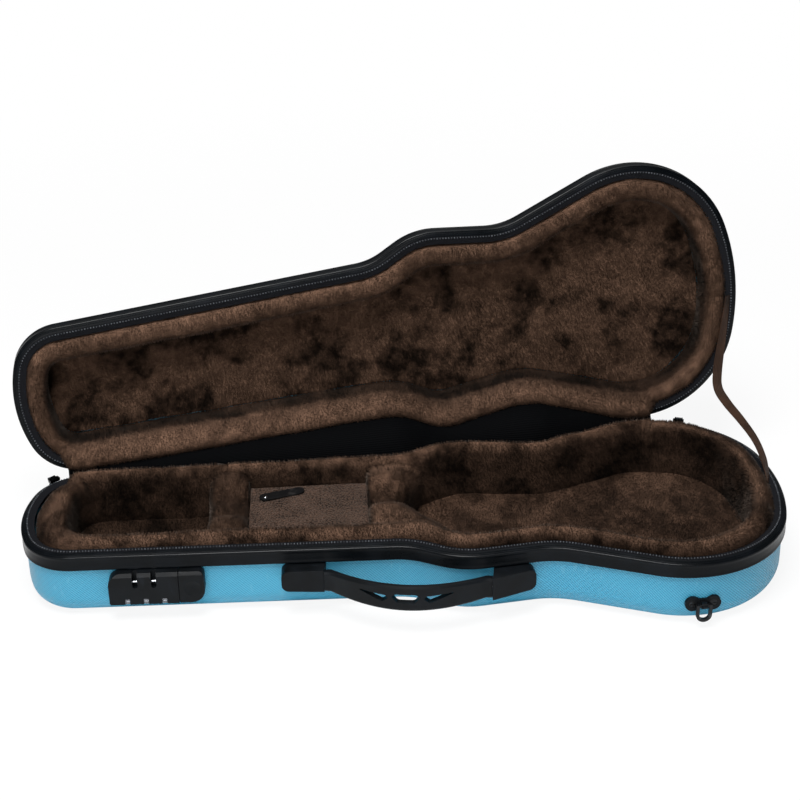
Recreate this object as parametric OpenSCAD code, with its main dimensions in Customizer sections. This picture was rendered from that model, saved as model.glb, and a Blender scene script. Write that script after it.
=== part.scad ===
// Shaped hard case for a small string instrument: two moulded half shells joined by a zip,
// plush bed inside, fabric gusset on the hinge side, handle, combination zip lock and strap ring.
// Millimetres. The tail is at +X, the head at -X, the handle side at -Y, the hinge side at +Y,
// and the base stands on z = 0. The lid is shown open.

/* [Overall] */
// Length over both rims
case_l = 740; // [640:5:840]
// Width over the rim at the lower bout
lower_w = 270; // [230:1:310]
// Width over the rim at the upper bout
upper_w = 208; // [180:1:240]
// Width over the rim at the waist
waist_w = 192; // [164:1:220]
// Width over the rim where the neck part meets the upper bout
neck_w = 163; // [146:1:186]
// Width over the rim at the head
head_w = 152; // [130:1:176]
// Height of the base up to the mouth plane
base_h = 73; // [60:0.5:90]
// Depth of the lid from its mouth plane to the top of its dome
lid_h = 52; // [46:0.5:64]
// Angle between the two mouth planes with the stay ribbon tight
open_angle = 97; // [90:1:110]

/* [Outline] */
// Radius of the shallow curve across the head end
head_end_r = 130; // [110:1:200]
// Radius of the head corners
head_corner_r = 50; // [40:1:60]
// Radius of the hollow between neck and upper bout
neck_fillet_r = 60; // [40:1:80]
// Distance of that hollow from the tail end
neck_from_tail = 385; // [360:1:410]
// Radius of the upper bout
upper_r = 70; // [60:1:80]
// Distance of the upper bout from the tail end
upper_from_tail = 310; // [300:1:325]
// Radius of the waist hollow
waist_r = 70; // [60:1:85]
// Distance of the waist from the tail end
waist_from_tail = 242; // [230:1:250]
// Radius of the lower bout
lower_r = 104; // [95:1:112]
// How far the tail curve stands out past the lower bout
tail_bulge = 4; // [2:0.5:8]

/* [Shells and rims] */
// Wall thickness of the moulded shells
wall_t = 2.4; // [1.8:0.1:4]
// How far the rims stand proud of the shells
rim_proud = 3.1; // [2:0.1:5]
// Height of a rim's flat outer band
rim_band = 15; // [11:0.5:20]
// Depth of a rim's bevel towards the mouth
rim_bevel = 4; // [3:0.25:6]
// Thickness of a rim's band
rim_t = 3; // [2:0.1:4]
// Radius between base wall and bottom
base_fillet = 22; // [12:1:26]
// Inward reach of the lid's dome curve
dome_reach = 34; // [24:1:44]
// Height of the lid's upright wall under the dome
dome_start = 19; // [17:0.5:24]
// Gap between the two mouth planes of the closed case
zip_gap = 0.6; // [0.4:0.1:2]
// Distance of the hinge line outside the rims
hinge_out = 0.5; // [0.4:0.1:2]

/* [Lining] */
// Clearance between neighbouring pieces of the lining
lining_gap = 0.3; // [0.2:0.05:0.6]
// Thickness of the padded floor of the base
floor_t = 6.3; // [4:0.1:10]
// Distance of the head pocket's end from the case's head end
pocket_end = 46; // [38:1:60]
// Width of the padded border beside the neck channel, from the rim
channel_border = 32.5; // [28:0.5:40]
// Shift of the neck channel towards the hinge side
channel_shift = 7; // [0:0.5:10]
// Distance of the shoulders of the body hollow from the tail end
shoulder_from_tail = 362; // [352:1:370]
// Width of the padded border at the upper bout, from the rim
upper_border = 24; // [20:0.5:30]
// Width of the padded border at the waist, from the rim
waist_border = 24; // [20:0.5:30]
// Width of the padded border at the lower bout, from the rim
lower_border = 27; // [25:0.5:35]
// Distance of the hollow's tail from the case's tail end
hollow_end = 34; // [30:1:44]
// Width of the lid's padded border
lid_border_w = 24; // [18:0.5:30]
// Shift of the lid's recess towards the hinge side
lid_recess_shift = 5; // [0:0.5:8]
// Depth of the lid's recess below its mouth plane
lid_recess = 36; // [24:0.5:38]
// Thickness of the lid's recess board
lid_board_t = 5; // [3:0.5:7]

/* [Accessory box] */
// Distance of the head divider's head side from the tail end
divider_from_tail = 561; // [540:1:580]
// Length of the head divider
divider_l = 39; // [30:1:46]
// Distance of the neck rest's head side from the tail end
rest_from_tail = 404; // [396:1:412]
// Length of the neck rest
rest_l = 38; // [28:1:42]
// Depth of the neck rest's top below the mouth
rest_drop = 7; // [4:0.5:16]
// Depth of the neck rest's groove
groove_depth = 26; // [16:0.5:32]
// Width of the level part beside the grooves for the instrument's neck
groove_side = 9; // [6:0.5:16]
// Depth of the dip in the head divider
divider_dip = 14; // [8:0.5:20]
// Depth of the accessory lid's top below the mouth
box_drop = 13; // [9:0.5:22]
// Thickness of the accessory lid
box_lid_t = 4; // [3:0.25:6]
// Width of the ledges under the accessory lid
ledge_w = 5; // [4:0.5:8]
// Width of the leather tab
tab_w = 12; // [8:0.5:16]
// Length of the leather tab
tab_l = 46; // [36:1:56]
// Thickness of the leather tab
tab_t = 1.6; // [1:0.1:2.5]

/* [Handle] */
// Distance of the left end cap's grip side from the tail end
cap_left_from_tail = 450; // [440:1:470]
// Distance of the right end cap's grip side from the tail end
cap_right_from_tail = 294; // [288:1:298]
// Length of the end caps
cap_l = 40; // [34:1:44]
// Height of the end caps
cap_h = 24; // [20:0.5:26]
// Gap between the end caps' tops and the rim above them
cap_under_rim = 1; // [0.5:0.1:4]
// Distance of the turning axis from the left wall
pivot_left = 12.4; // [12:0.1:15]
// Distance of the turning axis from the right wall
pivot_right = 14.2; // [13:0.1:16]
// How far the left cap stands out from the wall
cap_left_out = 15.8; // [15:0.1:18]
// How far the right cap stands out at its grip side
cap_right_out = 19.3; // [18:0.1:21]
// How far the right cap stands out at its far side
cap_far_out = 12.5; // [10:0.5:15]
// Bow of the grip
grip_bow = 24; // [16:0.5:30]
// Thickness of the grip
grip_t = 6.5; // [5:0.25:7]
// Height of the grip
grip_h = 21; // [18:0.5:23]
// How much higher the grip is in its middle
grip_rise = 5.5; // [0:0.5:6]
// Extra thickness at the front of the grip's ends
grip_flare = 1.2; // [0:0.1:2]
// Radius of the pivot pins
pivot_r = 2; // [1.6:0.1:2.5]
// Radial clearance of the grip on its pins
pivot_clear = 0.05; // [0.02:0.01:0.1]

/* [Zip lock] */
// Distance of the lock's middle from the tail end
lock_from_tail = 607; // [590:1:620]
// Length of the lock
lock_l = 90; // [80:1:100]
// Height of the lock
lock_h = 33; // [28:0.5:33]
// Gap between the lock's top and the rim above it
lock_under_rim = 0.6; // [0.3:0.1:2]
// How far the lock stands out from the wall
lock_out = 12; // [11:0.5:15]
// Length of the sliding release at the lock's right end
release_l = 24.5; // [20:0.5:28]
// Travel of the release
release_travel = 5; // [3:0.5:6]
// Width of the slots that take the zip pulls
slot_w = 4.8; // [4.5:0.1:6]
// Depth of the slots from the lock's top
slot_h = 15; // [12:0.5:18]
// Distance between neighbouring dials
dial_pitch = 17.4; // [12:0.1:20]
// Radius of a dial
dial_r = 4.2; // [4:0.1:5]
// Width of a dial
dial_w = 4.4; // [4:0.1:8]
// Radius of the dials' axle
axle_r = 1.2; // [0.8:0.1:1.6]
// Radial clearance of the dials on their axle
axle_clear = 0.05; // [0.02:0.01:0.1]

/* [Strap ring] */
// Place of the strap ring round the lower bout, from straight to the front
ring_angle = 4; // [0:0.5:20]
// Height of the ring plate's middle
ring_z = 25; // [22:0.5:40]
// Distance between the ring plate's screws
ring_screw_gap = 19; // [16:0.5:24]
// Radius of the ring plate's rounded ends
ring_plate_r = 7.5; // [6:0.5:9]
// Thickness of the ring plate
ring_plate_t = 2.6; // [2:0.1:4]
// Radius of the ring's bar
ring_bar_r = 1.5; // [1:0.1:2]
// Width inside the ring
ring_in_w = 9; // [8:0.5:16]
// Height inside the ring below its bar
ring_in_h = 14; // [9:0.5:16]

/* [Zip sliders] */
// Place of the head slider round the head corner, from the hinge line
slider_head_turn = 34; // [28:1:60]
// Place of the tail slider round the lower bout, from the hinge line
slider_tail_turn = 24; // [18:1:50]
// Length of a zip slider
slider_l = 11; // [8:0.5:14]
// Length of a zip pull
pull_l = 22; // [16:0.5:28]
// Radial clearance of the pulls on their pins
pull_clear = 0.06; // [0.02:0.01:0.1]

/* [Soft pieces] */
// Thickness of the gusset cloth
gusset_t = 0.9; // [0.6:0.1:1.4]
// Width of the stay ribbon
ribbon_w = 10; // [8:0.5:16]
// Thickness of the stay ribbon
ribbon_t = 0.9; // [0.6:0.1:1.4]

/* [Screws] */
// Radius of the fixing screws
screw_r = 1.5; // [1.2:0.1:2]
// Radius of the fixing screws' flat heads
head_r = 3.6; // [3:0.1:4.5]
// Clearance of screws in drilled walls
drill_gap = 0.1; // [0.05:0.01:0.2]

/* [Hidden] */
$fn = 32;
tail_x = case_l / 2;
shell_d = rim_proud;
shell_in = shell_d + wall_t;
tape_d = shell_in + 0.1;
tape_t = 1;
lining_d = tape_d + 2;
mouth = base_h;
rest_h = mouth - rest_drop;
box_top = mouth - box_drop;
lid_mouth = base_h + zip_gap;
rim_low = rim_bevel + rim_band;
// Small overlap that joins pieces of one solid
eps = 0.01;

// Sine and cosine pairs are kept inside their limits
function unit(v) = max(-1, min(1, v));
// Outward normal angle of the straight side between two rounds [x, y, r]; a hollow has r below zero
function side_normal(a, b) =
    atan2(b[1] - a[1], b[0] - a[0]) + acos(unit((a[2] - b[2]) / norm([b[0] - a[0], b[1] - a[1]])));
// Point of a round at an outward normal angle, moved inward by d
function round_point(c, t, d) = [c[0] + (c[2] - d) * cos(t), c[1] + (c[2] - d) * sin(t)];
// Corner round that lies inside a shallow end round and reaches the half width w
function corner_round(e, w, r) = [e[0] - sqrt(pow(e[2] - r, 2) - pow(w - r, 2)), e[1] + w - r, r];
// Shallow tail round through the tail end x that takes in the lower round c
function tail_round(c, x) =
    let (m = ((x - c[2]) * (x - c[2]) - c[0] * c[0] - c[1] * c[1]) / (2 * (x - c[2] - c[0])))
    [m, 0, x - m];
// Stations [round, angle] from angle t0 towards t1, without the last
function turn(c, t0, t1, n) = [for (i = [0 : n - 1]) [c, t0 + (t1 - t0) * i / n]];
// Stations along one half of a belt of seven rounds, head to tail; h1 and h5 split two of its turns
function half_stations(c, h1, h5) =
    let (t = [for (i = [0 : 5]) side_normal(c[i], c[i + 1])])
    concat(turn(0, 180, t[0], 2), turn(1, t[0], h1, 8), turn(1, h1, t[1], 1), [[1, t[1]]],
           turn(2, t[1], t[2], 4), [[2, t[2]]], turn(3, t[2], t[3], 5), [[3, t[3]]],
           turn(4, t[3], t[4], 4), [[4, t[4]]], turn(5, t[4], h5, 2), turn(5, h5, t[5], 9),
           turn(6, t[5], 0, 2), [[6, 0]]);
// Closed loop from a front half (mirrored) and a back half, both inset by d
function belt(front, fs, back, bs, d) =
    let (n = len(fs))
    concat([for (s = fs) let (p = round_point(front[s[0]], s[1], d)) [p[0], -p[1]]],
           [for (i = [n - 2 : -1 : 1]) round_point(back[bs[i][0]], bs[i][1], d)]);

// Rounds of the case's outline
c_head = [-tail_x + head_end_r, 0, head_end_r];
c_lower = [tail_x - lower_r - tail_bulge, lower_w / 2 - lower_r, lower_r];
rounds = [c_head,
          corner_round(c_head, head_w / 2, head_corner_r),
          [tail_x - neck_from_tail, neck_w / 2 + neck_fillet_r, -neck_fillet_r],
          [tail_x - upper_from_tail, upper_w / 2 - upper_r, upper_r],
          [tail_x - waist_from_tail, waist_w / 2 + waist_r, -waist_r],
          c_lower,
          tail_round(c_lower, tail_x)];
// The hinge line touches the head corner and the lower bout
hinge_n = side_normal(rounds[1], rounds[5]);
stations = half_stations(rounds, hinge_n, hinge_n);
count = 2 * len(stations) - 2;
hinge_head = count - 8;
hinge_tail = count - 31;
function outline(d) = belt(rounds, stations, rounds, stations, d);

// Rounds of the hollow in the base's lining, s = -1 for the front half and 1 for the back half
channel_half = min(neck_w / 2, head_w / 2 + 5.5) - channel_border;
hollow_upper = upper_w / 2 - upper_border;
hollow_waist = waist_w / 2 - waist_border;
hollow_lower = lower_w / 2 - lower_border;
hollow_end_r = 200;
hollow_corner_r = 28;
shoulder_r = 14;
hollow_waist_r = 75;
hollow_lower_r = 80;
hollow_upper_r = 52;
hollow_bulge = 4;
function hollow_rounds(s) =
    let (e = [-tail_x + pocket_end + hollow_end_r, s * channel_shift, hollow_end_r],
         w = s * channel_shift + channel_half,
         l = [tail_x - hollow_end - hollow_lower_r - hollow_bulge, hollow_lower - hollow_lower_r,
              hollow_lower_r])
    [e, corner_round(e, channel_half, hollow_corner_r),
     [tail_x - shoulder_from_tail, w + shoulder_r, -shoulder_r],
     [tail_x - upper_from_tail + 12, hollow_upper - hollow_upper_r, hollow_upper_r],
     [tail_x - waist_from_tail + 4, hollow_waist + hollow_waist_r, -hollow_waist_r],
     l, tail_round(l, tail_x - hollow_end)];
function hollow_stations(c) =
    half_stations(c, side_normal(c[1], c[2]) + 4, side_normal(c[4], c[5]) - 8);
hollow_front = hollow_rounds(-1);
hollow_back = hollow_rounds(1);
function hollow(d) =
    belt(hollow_front, hollow_stations(hollow_front), hollow_back, hollow_stations(hollow_back), d);

// Points of a flat loop lifted to height z
function lift(loop, z) = [for (p = loop) [p[0], p[1], z]];
// Loop between loops a and b at share s, at height z
function between(a, b, s, z) =
    [for (i = [0 : len(a) - 1]) [a[i][0] + s * (b[i][0] - a[i][0]), a[i][1] + s * (b[i][1] - a[i][1]), z]];
// Solid through a row of sections of equal point count, closed on itself or capped at both ends
module loft(sections, closed) {
    m = len(sections);
    n = len(sections[0]);
    pts = [for (s = sections) for (p = s) p];
    last = closed ? m - 1 : m - 2;
    sides = [for (j = [0 : last]) for (i = [0 : n - 1])
             let (a = j * n + i, b = j * n + (i + 1) % n,
                  c = ((j + 1) % m) * n + (i + 1) % n, d = ((j + 1) % m) * n + i)
             each [[a, c, b], [a, d, c]]];
    z = (m - 1) * n;
    caps = closed ? [] : [for (i = [0 : n / 2 - 2]) let (j = n - 1 - i)
                          each [[i, i + 1, j - 1], [i, j - 1, j], [z + i, z + j - 1, z + i + 1],
                                [z + i, z + j, z + j - 1]]];
    polyhedron(points = pts, faces = concat(sides, caps), convexity = 10);
}
// Solid of a section [inset, height] carried round the outline from station k0 to k1
module edge_run(section, k0, k1) {
    loops = [for (q = section) outline(q[0])];
    whole = k1 - k0 >= count;
    loft([for (k = [k0 : whole ? k0 + count - 1 : k1])
          [for (j = [0 : len(section) - 1])
           [loops[j][k % count][0], loops[j][k % count][1], section[j][1]]]], whole);
}
// Corner points of a polygon with each corner [x, y, r] rounded by n steps
function rounded(pts, n = 5) =
    let (m = len(pts))
    [for (i = [0 : m - 1])
     let (p = pts[i], a = pts[(i + m - 1) % m], b = pts[(i + 1) % m],
          u = [a[0] - p[0], a[1] - p[1]] / norm([a[0] - p[0], a[1] - p[1]]),
          v = [b[0] - p[0], b[1] - p[1]] / norm([b[0] - p[0], b[1] - p[1]]),
          h = acos(unit(u * v)) / 2,
          w = (u + v) / norm(u + v),
          q = [p[0], p[1]] + w * p[2] / sin(h),
          t0 = atan2(-w[1], -w[0]),
          g = (u[0] * v[1] - u[1] * v[0]) < 0 ? 1 : -1)
     each (p[2] <= 0 ? [[p[0], p[1]]] :
           [for (k = [0 : n]) let (t = t0 + g * (90 - h) * (2 * k / n - 1)) q + p[2] * [cos(t), sin(t)]])];

// Frame of the hinge line: x along it towards the tail
hinge_p = round_point(rounds[1], hinge_n, -hinge_out);
module opened() {
    translate([hinge_p[0], hinge_p[1], base_h + zip_gap / 2]) rotate([0, 0, hinge_n - 90])
        rotate([-open_angle, 0, 0]) rotate([0, 0, 90 - hinge_n])
            translate([-hinge_p[0], -hinge_p[1], -base_h - zip_gap / 2]) children();
}
// A point of the closed lid carried to the open lid
function to_open(p) =
    let (c = cos(hinge_n - 90), s = sin(hinge_n - 90),
         x = p[0] - hinge_p[0], y = p[1] - hinge_p[1], z = p[2] - base_h - zip_gap / 2,
         u = c * x + s * y, v = c * y - s * x,
         v2 = v * cos(open_angle) + z * sin(open_angle), z2 = z * cos(open_angle) - v * sin(open_angle))
    [hinge_p[0] + c * u - s * v2, hinge_p[1] + s * u + c * v2, base_h + zip_gap / 2 + z2];

// Frames on the walls: x along the wall, y into the case, y = 0 on the shell's outer face
neck_n = side_normal(rounds[1], rounds[2]);
bout_n = side_normal(rounds[3], rounds[4]);
function wall_y(c, t, x) =
    let (p = round_point(c, t, shell_d)) p[1] - (x - p[0]) * cos(t) / sin(t);
module on_neck_wall(x) {
    translate([x, -wall_y(rounds[1], neck_n, x), 0]) rotate([0, 0, 90 - neck_n]) children();
}
module on_bout_wall(x) {
    translate([x, -wall_y(rounds[3], bout_n, x), 0]) rotate([0, 0, 90 - bout_n]) children();
}
module on_lower_bout() {
    r = lower_r - shell_d;
    translate([c_lower[0] + r * sin(ring_angle), -c_lower[1] - r * cos(ring_angle), 0])
        rotate([0, 0, ring_angle]) children();
}
// Cylinder along y from y0 to y1
module rod_y(r, y0, y1) {
    translate([0, y0, 0]) rotate([-90, 0, 0]) cylinder(r = r, h = y1 - y0);
}
// Cylinder along x from x0 to x1
module rod_x(r, x0, x1) {
    translate([x0, 0, 0]) rotate([0, 90, 0]) cylinder(r = r, h = x1 - x0);
}
// Block between two opposite corners
module block(a, b) {
    translate(a) cube(b - a);
}

// Places of the fittings
lock_x = tail_x - lock_from_tail;
lock_top = base_h - rim_low - lock_under_rim;
lock_bottom = lock_top - lock_h;
lock_screw_x = [-33, 9];
lock_screw_z = lock_top - 14;
handle_z = base_h - rim_low - cap_under_rim - cap_h / 2;
cap_left_x = tail_x - cap_left_from_tail;
cap_right_x = tail_x - cap_right_from_tail;
pin_left = [cap_left_x, -wall_y(rounds[1], neck_n, cap_left_x) - pivot_left];
pin_right = [cap_right_x, -wall_y(rounds[3], bout_n, cap_right_x) - pivot_right];
handle_turn = atan2(pin_right[1] - pin_left[1], pin_right[0] - pin_left[0]);
handle_span = norm(pin_right - pin_left);
cap_screw_gap = 16;
plate_t = 1.2;
head_t = 0.45;
plate_y = wall_t + 0.1;
module on_handle_axis() {
    translate([pin_left[0], pin_left[1], handle_z]) rotate([0, 0, handle_turn]) children();
}
module cap_screw_places() {
    on_neck_wall(cap_left_x - cap_l / 2 - 3) for (s = [-1, 1])
        translate([s * cap_screw_gap / 2, 0, handle_z]) children();
    on_bout_wall(cap_right_x + cap_l / 2 + 3) for (s = [-1, 1])
        translate([s * cap_screw_gap / 2, 0, handle_z]) children();
}
module lock_screw_places() {
    on_neck_wall(lock_x) for (x = lock_screw_x) translate([x, 0, lock_screw_z]) children();
}
module ring_screw_places() {
    on_lower_bout() for (s = [-1, 1]) translate([s * ring_screw_gap / 2, 0, ring_z]) children();
}

// Moulded bowl of the base, drilled for the fittings
fillet_steps = 5;
module base_shell() {
    ri = base_fillet - wall_t;
    outer = [for (i = [0 : fillet_steps]) let (t = 90 * i / fillet_steps)
             [shell_d + base_fillet * (1 - sin(t)), base_fillet * (1 - cos(t))]];
    inner = [for (i = [fillet_steps : -1 : 0]) let (t = 90 * i / fillet_steps)
             [shell_in + ri * (1 - sin(t)), wall_t + ri * (1 - cos(t))]];
    top = base_h - rim_bevel - 2.1;
    profile = concat(outer, [[shell_d, top], [shell_in, top]], inner);
    color([0.29, 0.68, 0.84]) difference() {
        loft([for (q = profile) lift(outline(q[0]), q[1])], false);
        lock_screw_places() rod_y(screw_r + drill_gap, -2, wall_t + 2);
        cap_screw_places() rod_y(screw_r + drill_gap, -2, wall_t + 2);
        ring_screw_places() rod_y(screw_r + drill_gap, -4, wall_t + 4);
    }
}

// Black rim of the base, hooked over the shell's edge
rim_section = [[0, -rim_low], [rim_t, -rim_low], [rim_t, -rim_bevel - 2], [shell_in - 0.1, -rim_bevel - 2],
               [shell_in - 0.1, -rim_bevel + 2], [0, -rim_bevel]];
function raised(section, z) = [for (q = section) [q[0], q[1] + z]];
function flipped(section, z) =
    [for (i = [len(section) - 1 : -1 : 0]) [section[i][0], z - section[i][1]]];
module base_rim() {
    color([0.1, 0.11, 0.13]) edge_run(raised(rim_section, mouth), 0, count);
}

// Zip tape with its toothed edge, round the front and both ends
zip_section = [[tape_d + tape_t, -14], [tape_d + tape_t, -2.3], [tape_d + 1.6, -2.3], [tape_d + 1.6, -0.3],
               [tape_d, -0.3], [tape_d, -14]];
module base_zip() {
    color([0.08, 0.08, 0.09]) edge_run(raised(zip_section, mouth), hinge_head, count + hinge_tail);
}

// Padded plush border between the zip and the hollow, in a head part and a body part that meet at the neck
floor_z = wall_t + 3 * lining_gap;
floor_top = floor_z + floor_t;
border_profile = [[1, floor_z], [1, mouth - 22], [0.9, mouth - 9], [0.68, mouth - 2.5],
                  [0.38, mouth - 0.5], [0.14, mouth - 1.7], [0, mouth - 5], [0, base_fillet]];
border_joint = 12;
module border_run(k0, k1) {
    a = outline(lining_d);
    b = hollow(0);
    loft([for (k = [k0 : k1]) let (i = k % count)
          [for (q = border_profile) [a[i][0] + q[0] * (b[i][0] - a[i][0]),
                                     a[i][1] + q[0] * (b[i][1] - a[i][1]), q[1]]]], false);
}
module head_border() {
    color([0.3, 0.2, 0.15]) border_run(count - border_joint, count + border_joint);
}
module body_border() {
    color([0.3, 0.2, 0.15]) border_run(border_joint, count - border_joint);
}

// Padded floor of the hollow
module base_floor() {
    color([0.27, 0.18, 0.13]) translate([0, 0, floor_z]) linear_extrude(floor_t) polygon(hollow(lining_gap));
}

// Padded block between the head pocket and the accessory box, with a shallow dip
channel_y0 = channel_shift - channel_half + lining_gap;
channel_y1 = channel_shift + channel_half - lining_gap;
block_z = floor_top + 0.05;
divider_x = tail_x - divider_from_tail;
groove_y = channel_shift + 8;
groove_half = channel_shift + channel_half - groove_y - groove_side;
// Height of a padded block's top at y: level, with a smooth groove and rounded outer edges
pad_edge = 5;
function pad_top(y, h, depth) =
    let (g = min(1, abs(y - groove_y) / groove_half),
         e = max(0, pad_edge - min(y - channel_y0, channel_y1 - y)))
    h - depth * (0.5 + 0.5 * cos(180 * g)) - (pad_edge - sqrt(pad_edge * pad_edge - e * e));
// Padded block across the channel, crowned along x and drawn in at both ends
pad_steps = 26;
pad_stations = [[0, 7], [0.04, 3.2], [0.14, 0.9], [0.32, 0], [0.68, 0], [0.86, 0.9], [0.96, 3.2], [1, 7]];
module pad_block(x, l, h, depth) {
    w = channel_y1 - channel_y0;
    ys = [for (i = [0 : pad_steps]) channel_y0 + w * i / pad_steps];
    loft([for (q = pad_stations)
          concat([for (y = ys) [x + q[0] * l, y, block_z]],
                 [for (i = [pad_steps : -1 : 0]) [x + q[0] * l, ys[i], pad_top(ys[i], h, depth) - q[1]]])],
         false);
}
module head_divider() {
    color([0.3, 0.2, 0.15]) pad_block(divider_x, divider_l, box_top + 3, divider_dip);
}

// Padded block with the groove that carries the instrument's neck
rest_x = tail_x - rest_from_tail;
module neck_rest() {
    color([0.32, 0.22, 0.16]) pad_block(rest_x, rest_l, rest_h, groove_depth);
}

// Ledges along both sides of the accessory box that carry its lid
box_x0 = divider_x + divider_l + lining_gap;
box_x1 = rest_x - lining_gap;
ledge_h = 12;
module box_ledges() {
    z1 = box_top - box_lid_t - 0.05;
    color([0.27, 0.18, 0.13]) {
        block([box_x0, channel_y0, z1 - ledge_h], [box_x1, channel_y0 + ledge_w, z1]);
        block([box_x0, channel_y1 - ledge_w, z1 - ledge_h], [box_x1, channel_y1, z1]);
    }
}

// Ribbed cloth that joins base and lid along the hinge side
gusset_d = tape_d + gusset_t / 2;
// Point of a loop at station k, drawn in from the ends of the zip by a clearance
function clear_of_zip(o, k) =
    let (n = k == hinge_tail ? k + 1 : k == hinge_head ? k - 1 : k)
    n == k ? o[k] : o[k] + (o[n] - o[k]) * lining_gap / norm(o[n] - o[k]);
module hinge_gusset() {
    o0 = outline(gusset_d - gusset_t / 2);
    o1 = outline(gusset_d + gusset_t / 2);
    low = mouth - 14;
    high = mouth - 0.4;
    color([0.06, 0.06, 0.07]) loft([for (k = [hinge_tail : hinge_head])
        let (p = clear_of_zip(o0, k), q = clear_of_zip(o1, k))
        [[q[0], q[1], low], [q[0], q[1], high],
         to_open([q[0], q[1], 2 * mouth + zip_gap - high]), to_open([q[0], q[1], 2 * mouth + zip_gap - low]),
         to_open([p[0], p[1], 2 * mouth + zip_gap - low]), to_open([p[0], p[1], 2 * mouth + zip_gap - high]),
         [p[0], p[1], high], [p[0], p[1], low]]], false);
}

// Stay ribbon from the lid's tail border to the base's tail border, hanging slack
ribbon_end = 11;
ribbon_base = [tail_x - ribbon_end, 6, mouth + 0.2];
ribbon_lid = to_open([tail_x - ribbon_end, 18, lid_mouth - 0.6]);
ribbon_steps = 14;
function ribbon_path(s) =
    let (a = ribbon_lid, e = ribbon_base, m = [a[0] - 12, a[1] - 27, mouth + 4], r = 1 - s)
    r * r * r * a + 3 * s * r * m + s * s * s * e;
module lid_strap() {
    pts = [for (i = [0 : ribbon_steps]) ribbon_path(i / ribbon_steps)];
    color([0.24, 0.16, 0.11]) loft([for (i = [0 : ribbon_steps])
        let (t = pts[min(i + 1, ribbon_steps)] - pts[max(i - 1, 0)],
             n = [0, -t[2], t[1]] / norm([0, t[2], t[1]]) * ribbon_t / 2,
             w = [ribbon_w / 2, 0, 0])
        [pts[i] - w - n, pts[i] + w - n, pts[i] + w + n, pts[i] - w + n]], false);
}

// Housing of the combination lock with two slots for the zip pulls and a rail for the release
lock_x0 = -lock_l / 2;
lock_x1 = lock_l / 2 - release_l;
slot_x = [-19.8, -2.2];
lock_bevel = 3;
dial_x = [-28, -28 + dial_pitch, -28 + 2 * dial_pitch];
dial_y = -8.4;
dial_z = lock_bottom + dial_r - 1.1;
wall_touch = 0.05;
rail_flange = 9;
rail_neck = 5.5;
module lock_body() {
    bevel = lock_bevel;
    zm = (lock_top + lock_bottom) / 2;
    color([0.12, 0.13, 0.15]) on_neck_wall(lock_x) difference() {
        union() {
            difference() {
                translate([0, -wall_touch, 0]) rotate([90, 0, 0]) linear_extrude(lock_out)
                    polygon(rounded([[lock_x0, lock_bottom, 2], [lock_x1, lock_bottom, 0],
                                     [lock_x1, lock_top, 0], [lock_x0, lock_top, 12]]));
                translate([lock_x0 - 1, -lock_out - wall_touch, lock_top - bevel]) rotate([45, 0, 0])
                    translate([0, -6, 0]) cube([lock_l + 2, 12, 6]);
            }
            block([lock_x1 - 1, -2 - wall_touch, zm - rail_neck],
                  [lock_x1 + release_l - 3, -wall_touch, zm + rail_neck]);
            block([lock_x1 - 1, -4 - wall_touch, zm - rail_flange],
                  [lock_x1 + release_l - 3, -2 - wall_touch - eps, zm + rail_flange]);
        }
        for (x = slot_x) {
            block([x - slot_w / 2, -lock_out - 1, lock_top - slot_h + slot_w / 2],
                  [x + slot_w / 2, -lock_out + 8, lock_top + 1]);
            translate([x, 0, lock_top - slot_h + slot_w / 2]) rod_y(slot_w / 2, -lock_out - 1, -lock_out + 8);
            translate([x, -lock_out + 3.6, lock_top - 9.5])
                rod_x(post_r, -slot_w / 2 - 1.6, slot_w / 2 + 1.6);
        }
        for (x = dial_x) translate([x, dial_y, dial_z]) {
            rod_x(dial_r + 0.35, -dial_w / 2 - 0.3, dial_w / 2 + 0.3);
            block([-dial_w / 2 - 0.3, -dial_r - 0.35, -dial_r - 2], [dial_w / 2 + 0.3, dial_r + 0.35, 0]);
        }
        translate([0, dial_y, dial_z]) rod_x(axle_r, axle_x0, axle_x1);
        for (x = lock_screw_x) translate([x, 0, lock_screw_z]) rod_y(screw_r + 0.02, -screw_bite, 1);
    }
}

// Stiffening plate behind the wall under the lock
screw_bite = 4;
module lock_plate() {
    color([0.55, 0.56, 0.58]) on_neck_wall(lock_x) difference() {
        block([lock_screw_x[0] - 7, plate_y, lock_screw_z - 6],
              [lock_screw_x[1] + 7, plate_y + plate_t, lock_screw_z + 6]);
        for (x = lock_screw_x) translate([x, 0, lock_screw_z])
            rod_y(screw_r + drill_gap, plate_y - 1, plate_y + plate_t + 1);
    }
}

// Flat-headed screw put in from inside the wall
module wall_screw() {
    rod_y(screw_r, -screw_bite + 0.3, plate_y + plate_t + head_t);
    rod_y(head_r, plate_y + plate_t + 0.02, plate_y + plate_t + head_t);
}
module lock_screws() {
    color([0.7, 0.7, 0.72]) lock_screw_places() wall_screw();
}

// Catch pins across the lock's slots
post_r = 1.1;
module lock_posts() {
    color([0.85, 0.85, 0.87]) on_neck_wall(lock_x) for (x = slot_x)
        translate([x, -lock_out + 3.6, lock_top - 9.5])
            rod_x(post_r - 0.01, -slot_w / 2 - 1.5, slot_w / 2 + 1.5);
}

// Axle of the dials
axle_x0 = dial_x[0] - dial_w / 2 - 4;
axle_x1 = dial_x[2] + dial_w / 2 + 4;
module dial_axle() {
    color([0.7, 0.7, 0.72]) on_neck_wall(lock_x) translate([0, dial_y, dial_z])
        rod_x(axle_r - 0.01, axle_x0 + 0.1, axle_x1 - 0.1);
}

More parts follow.
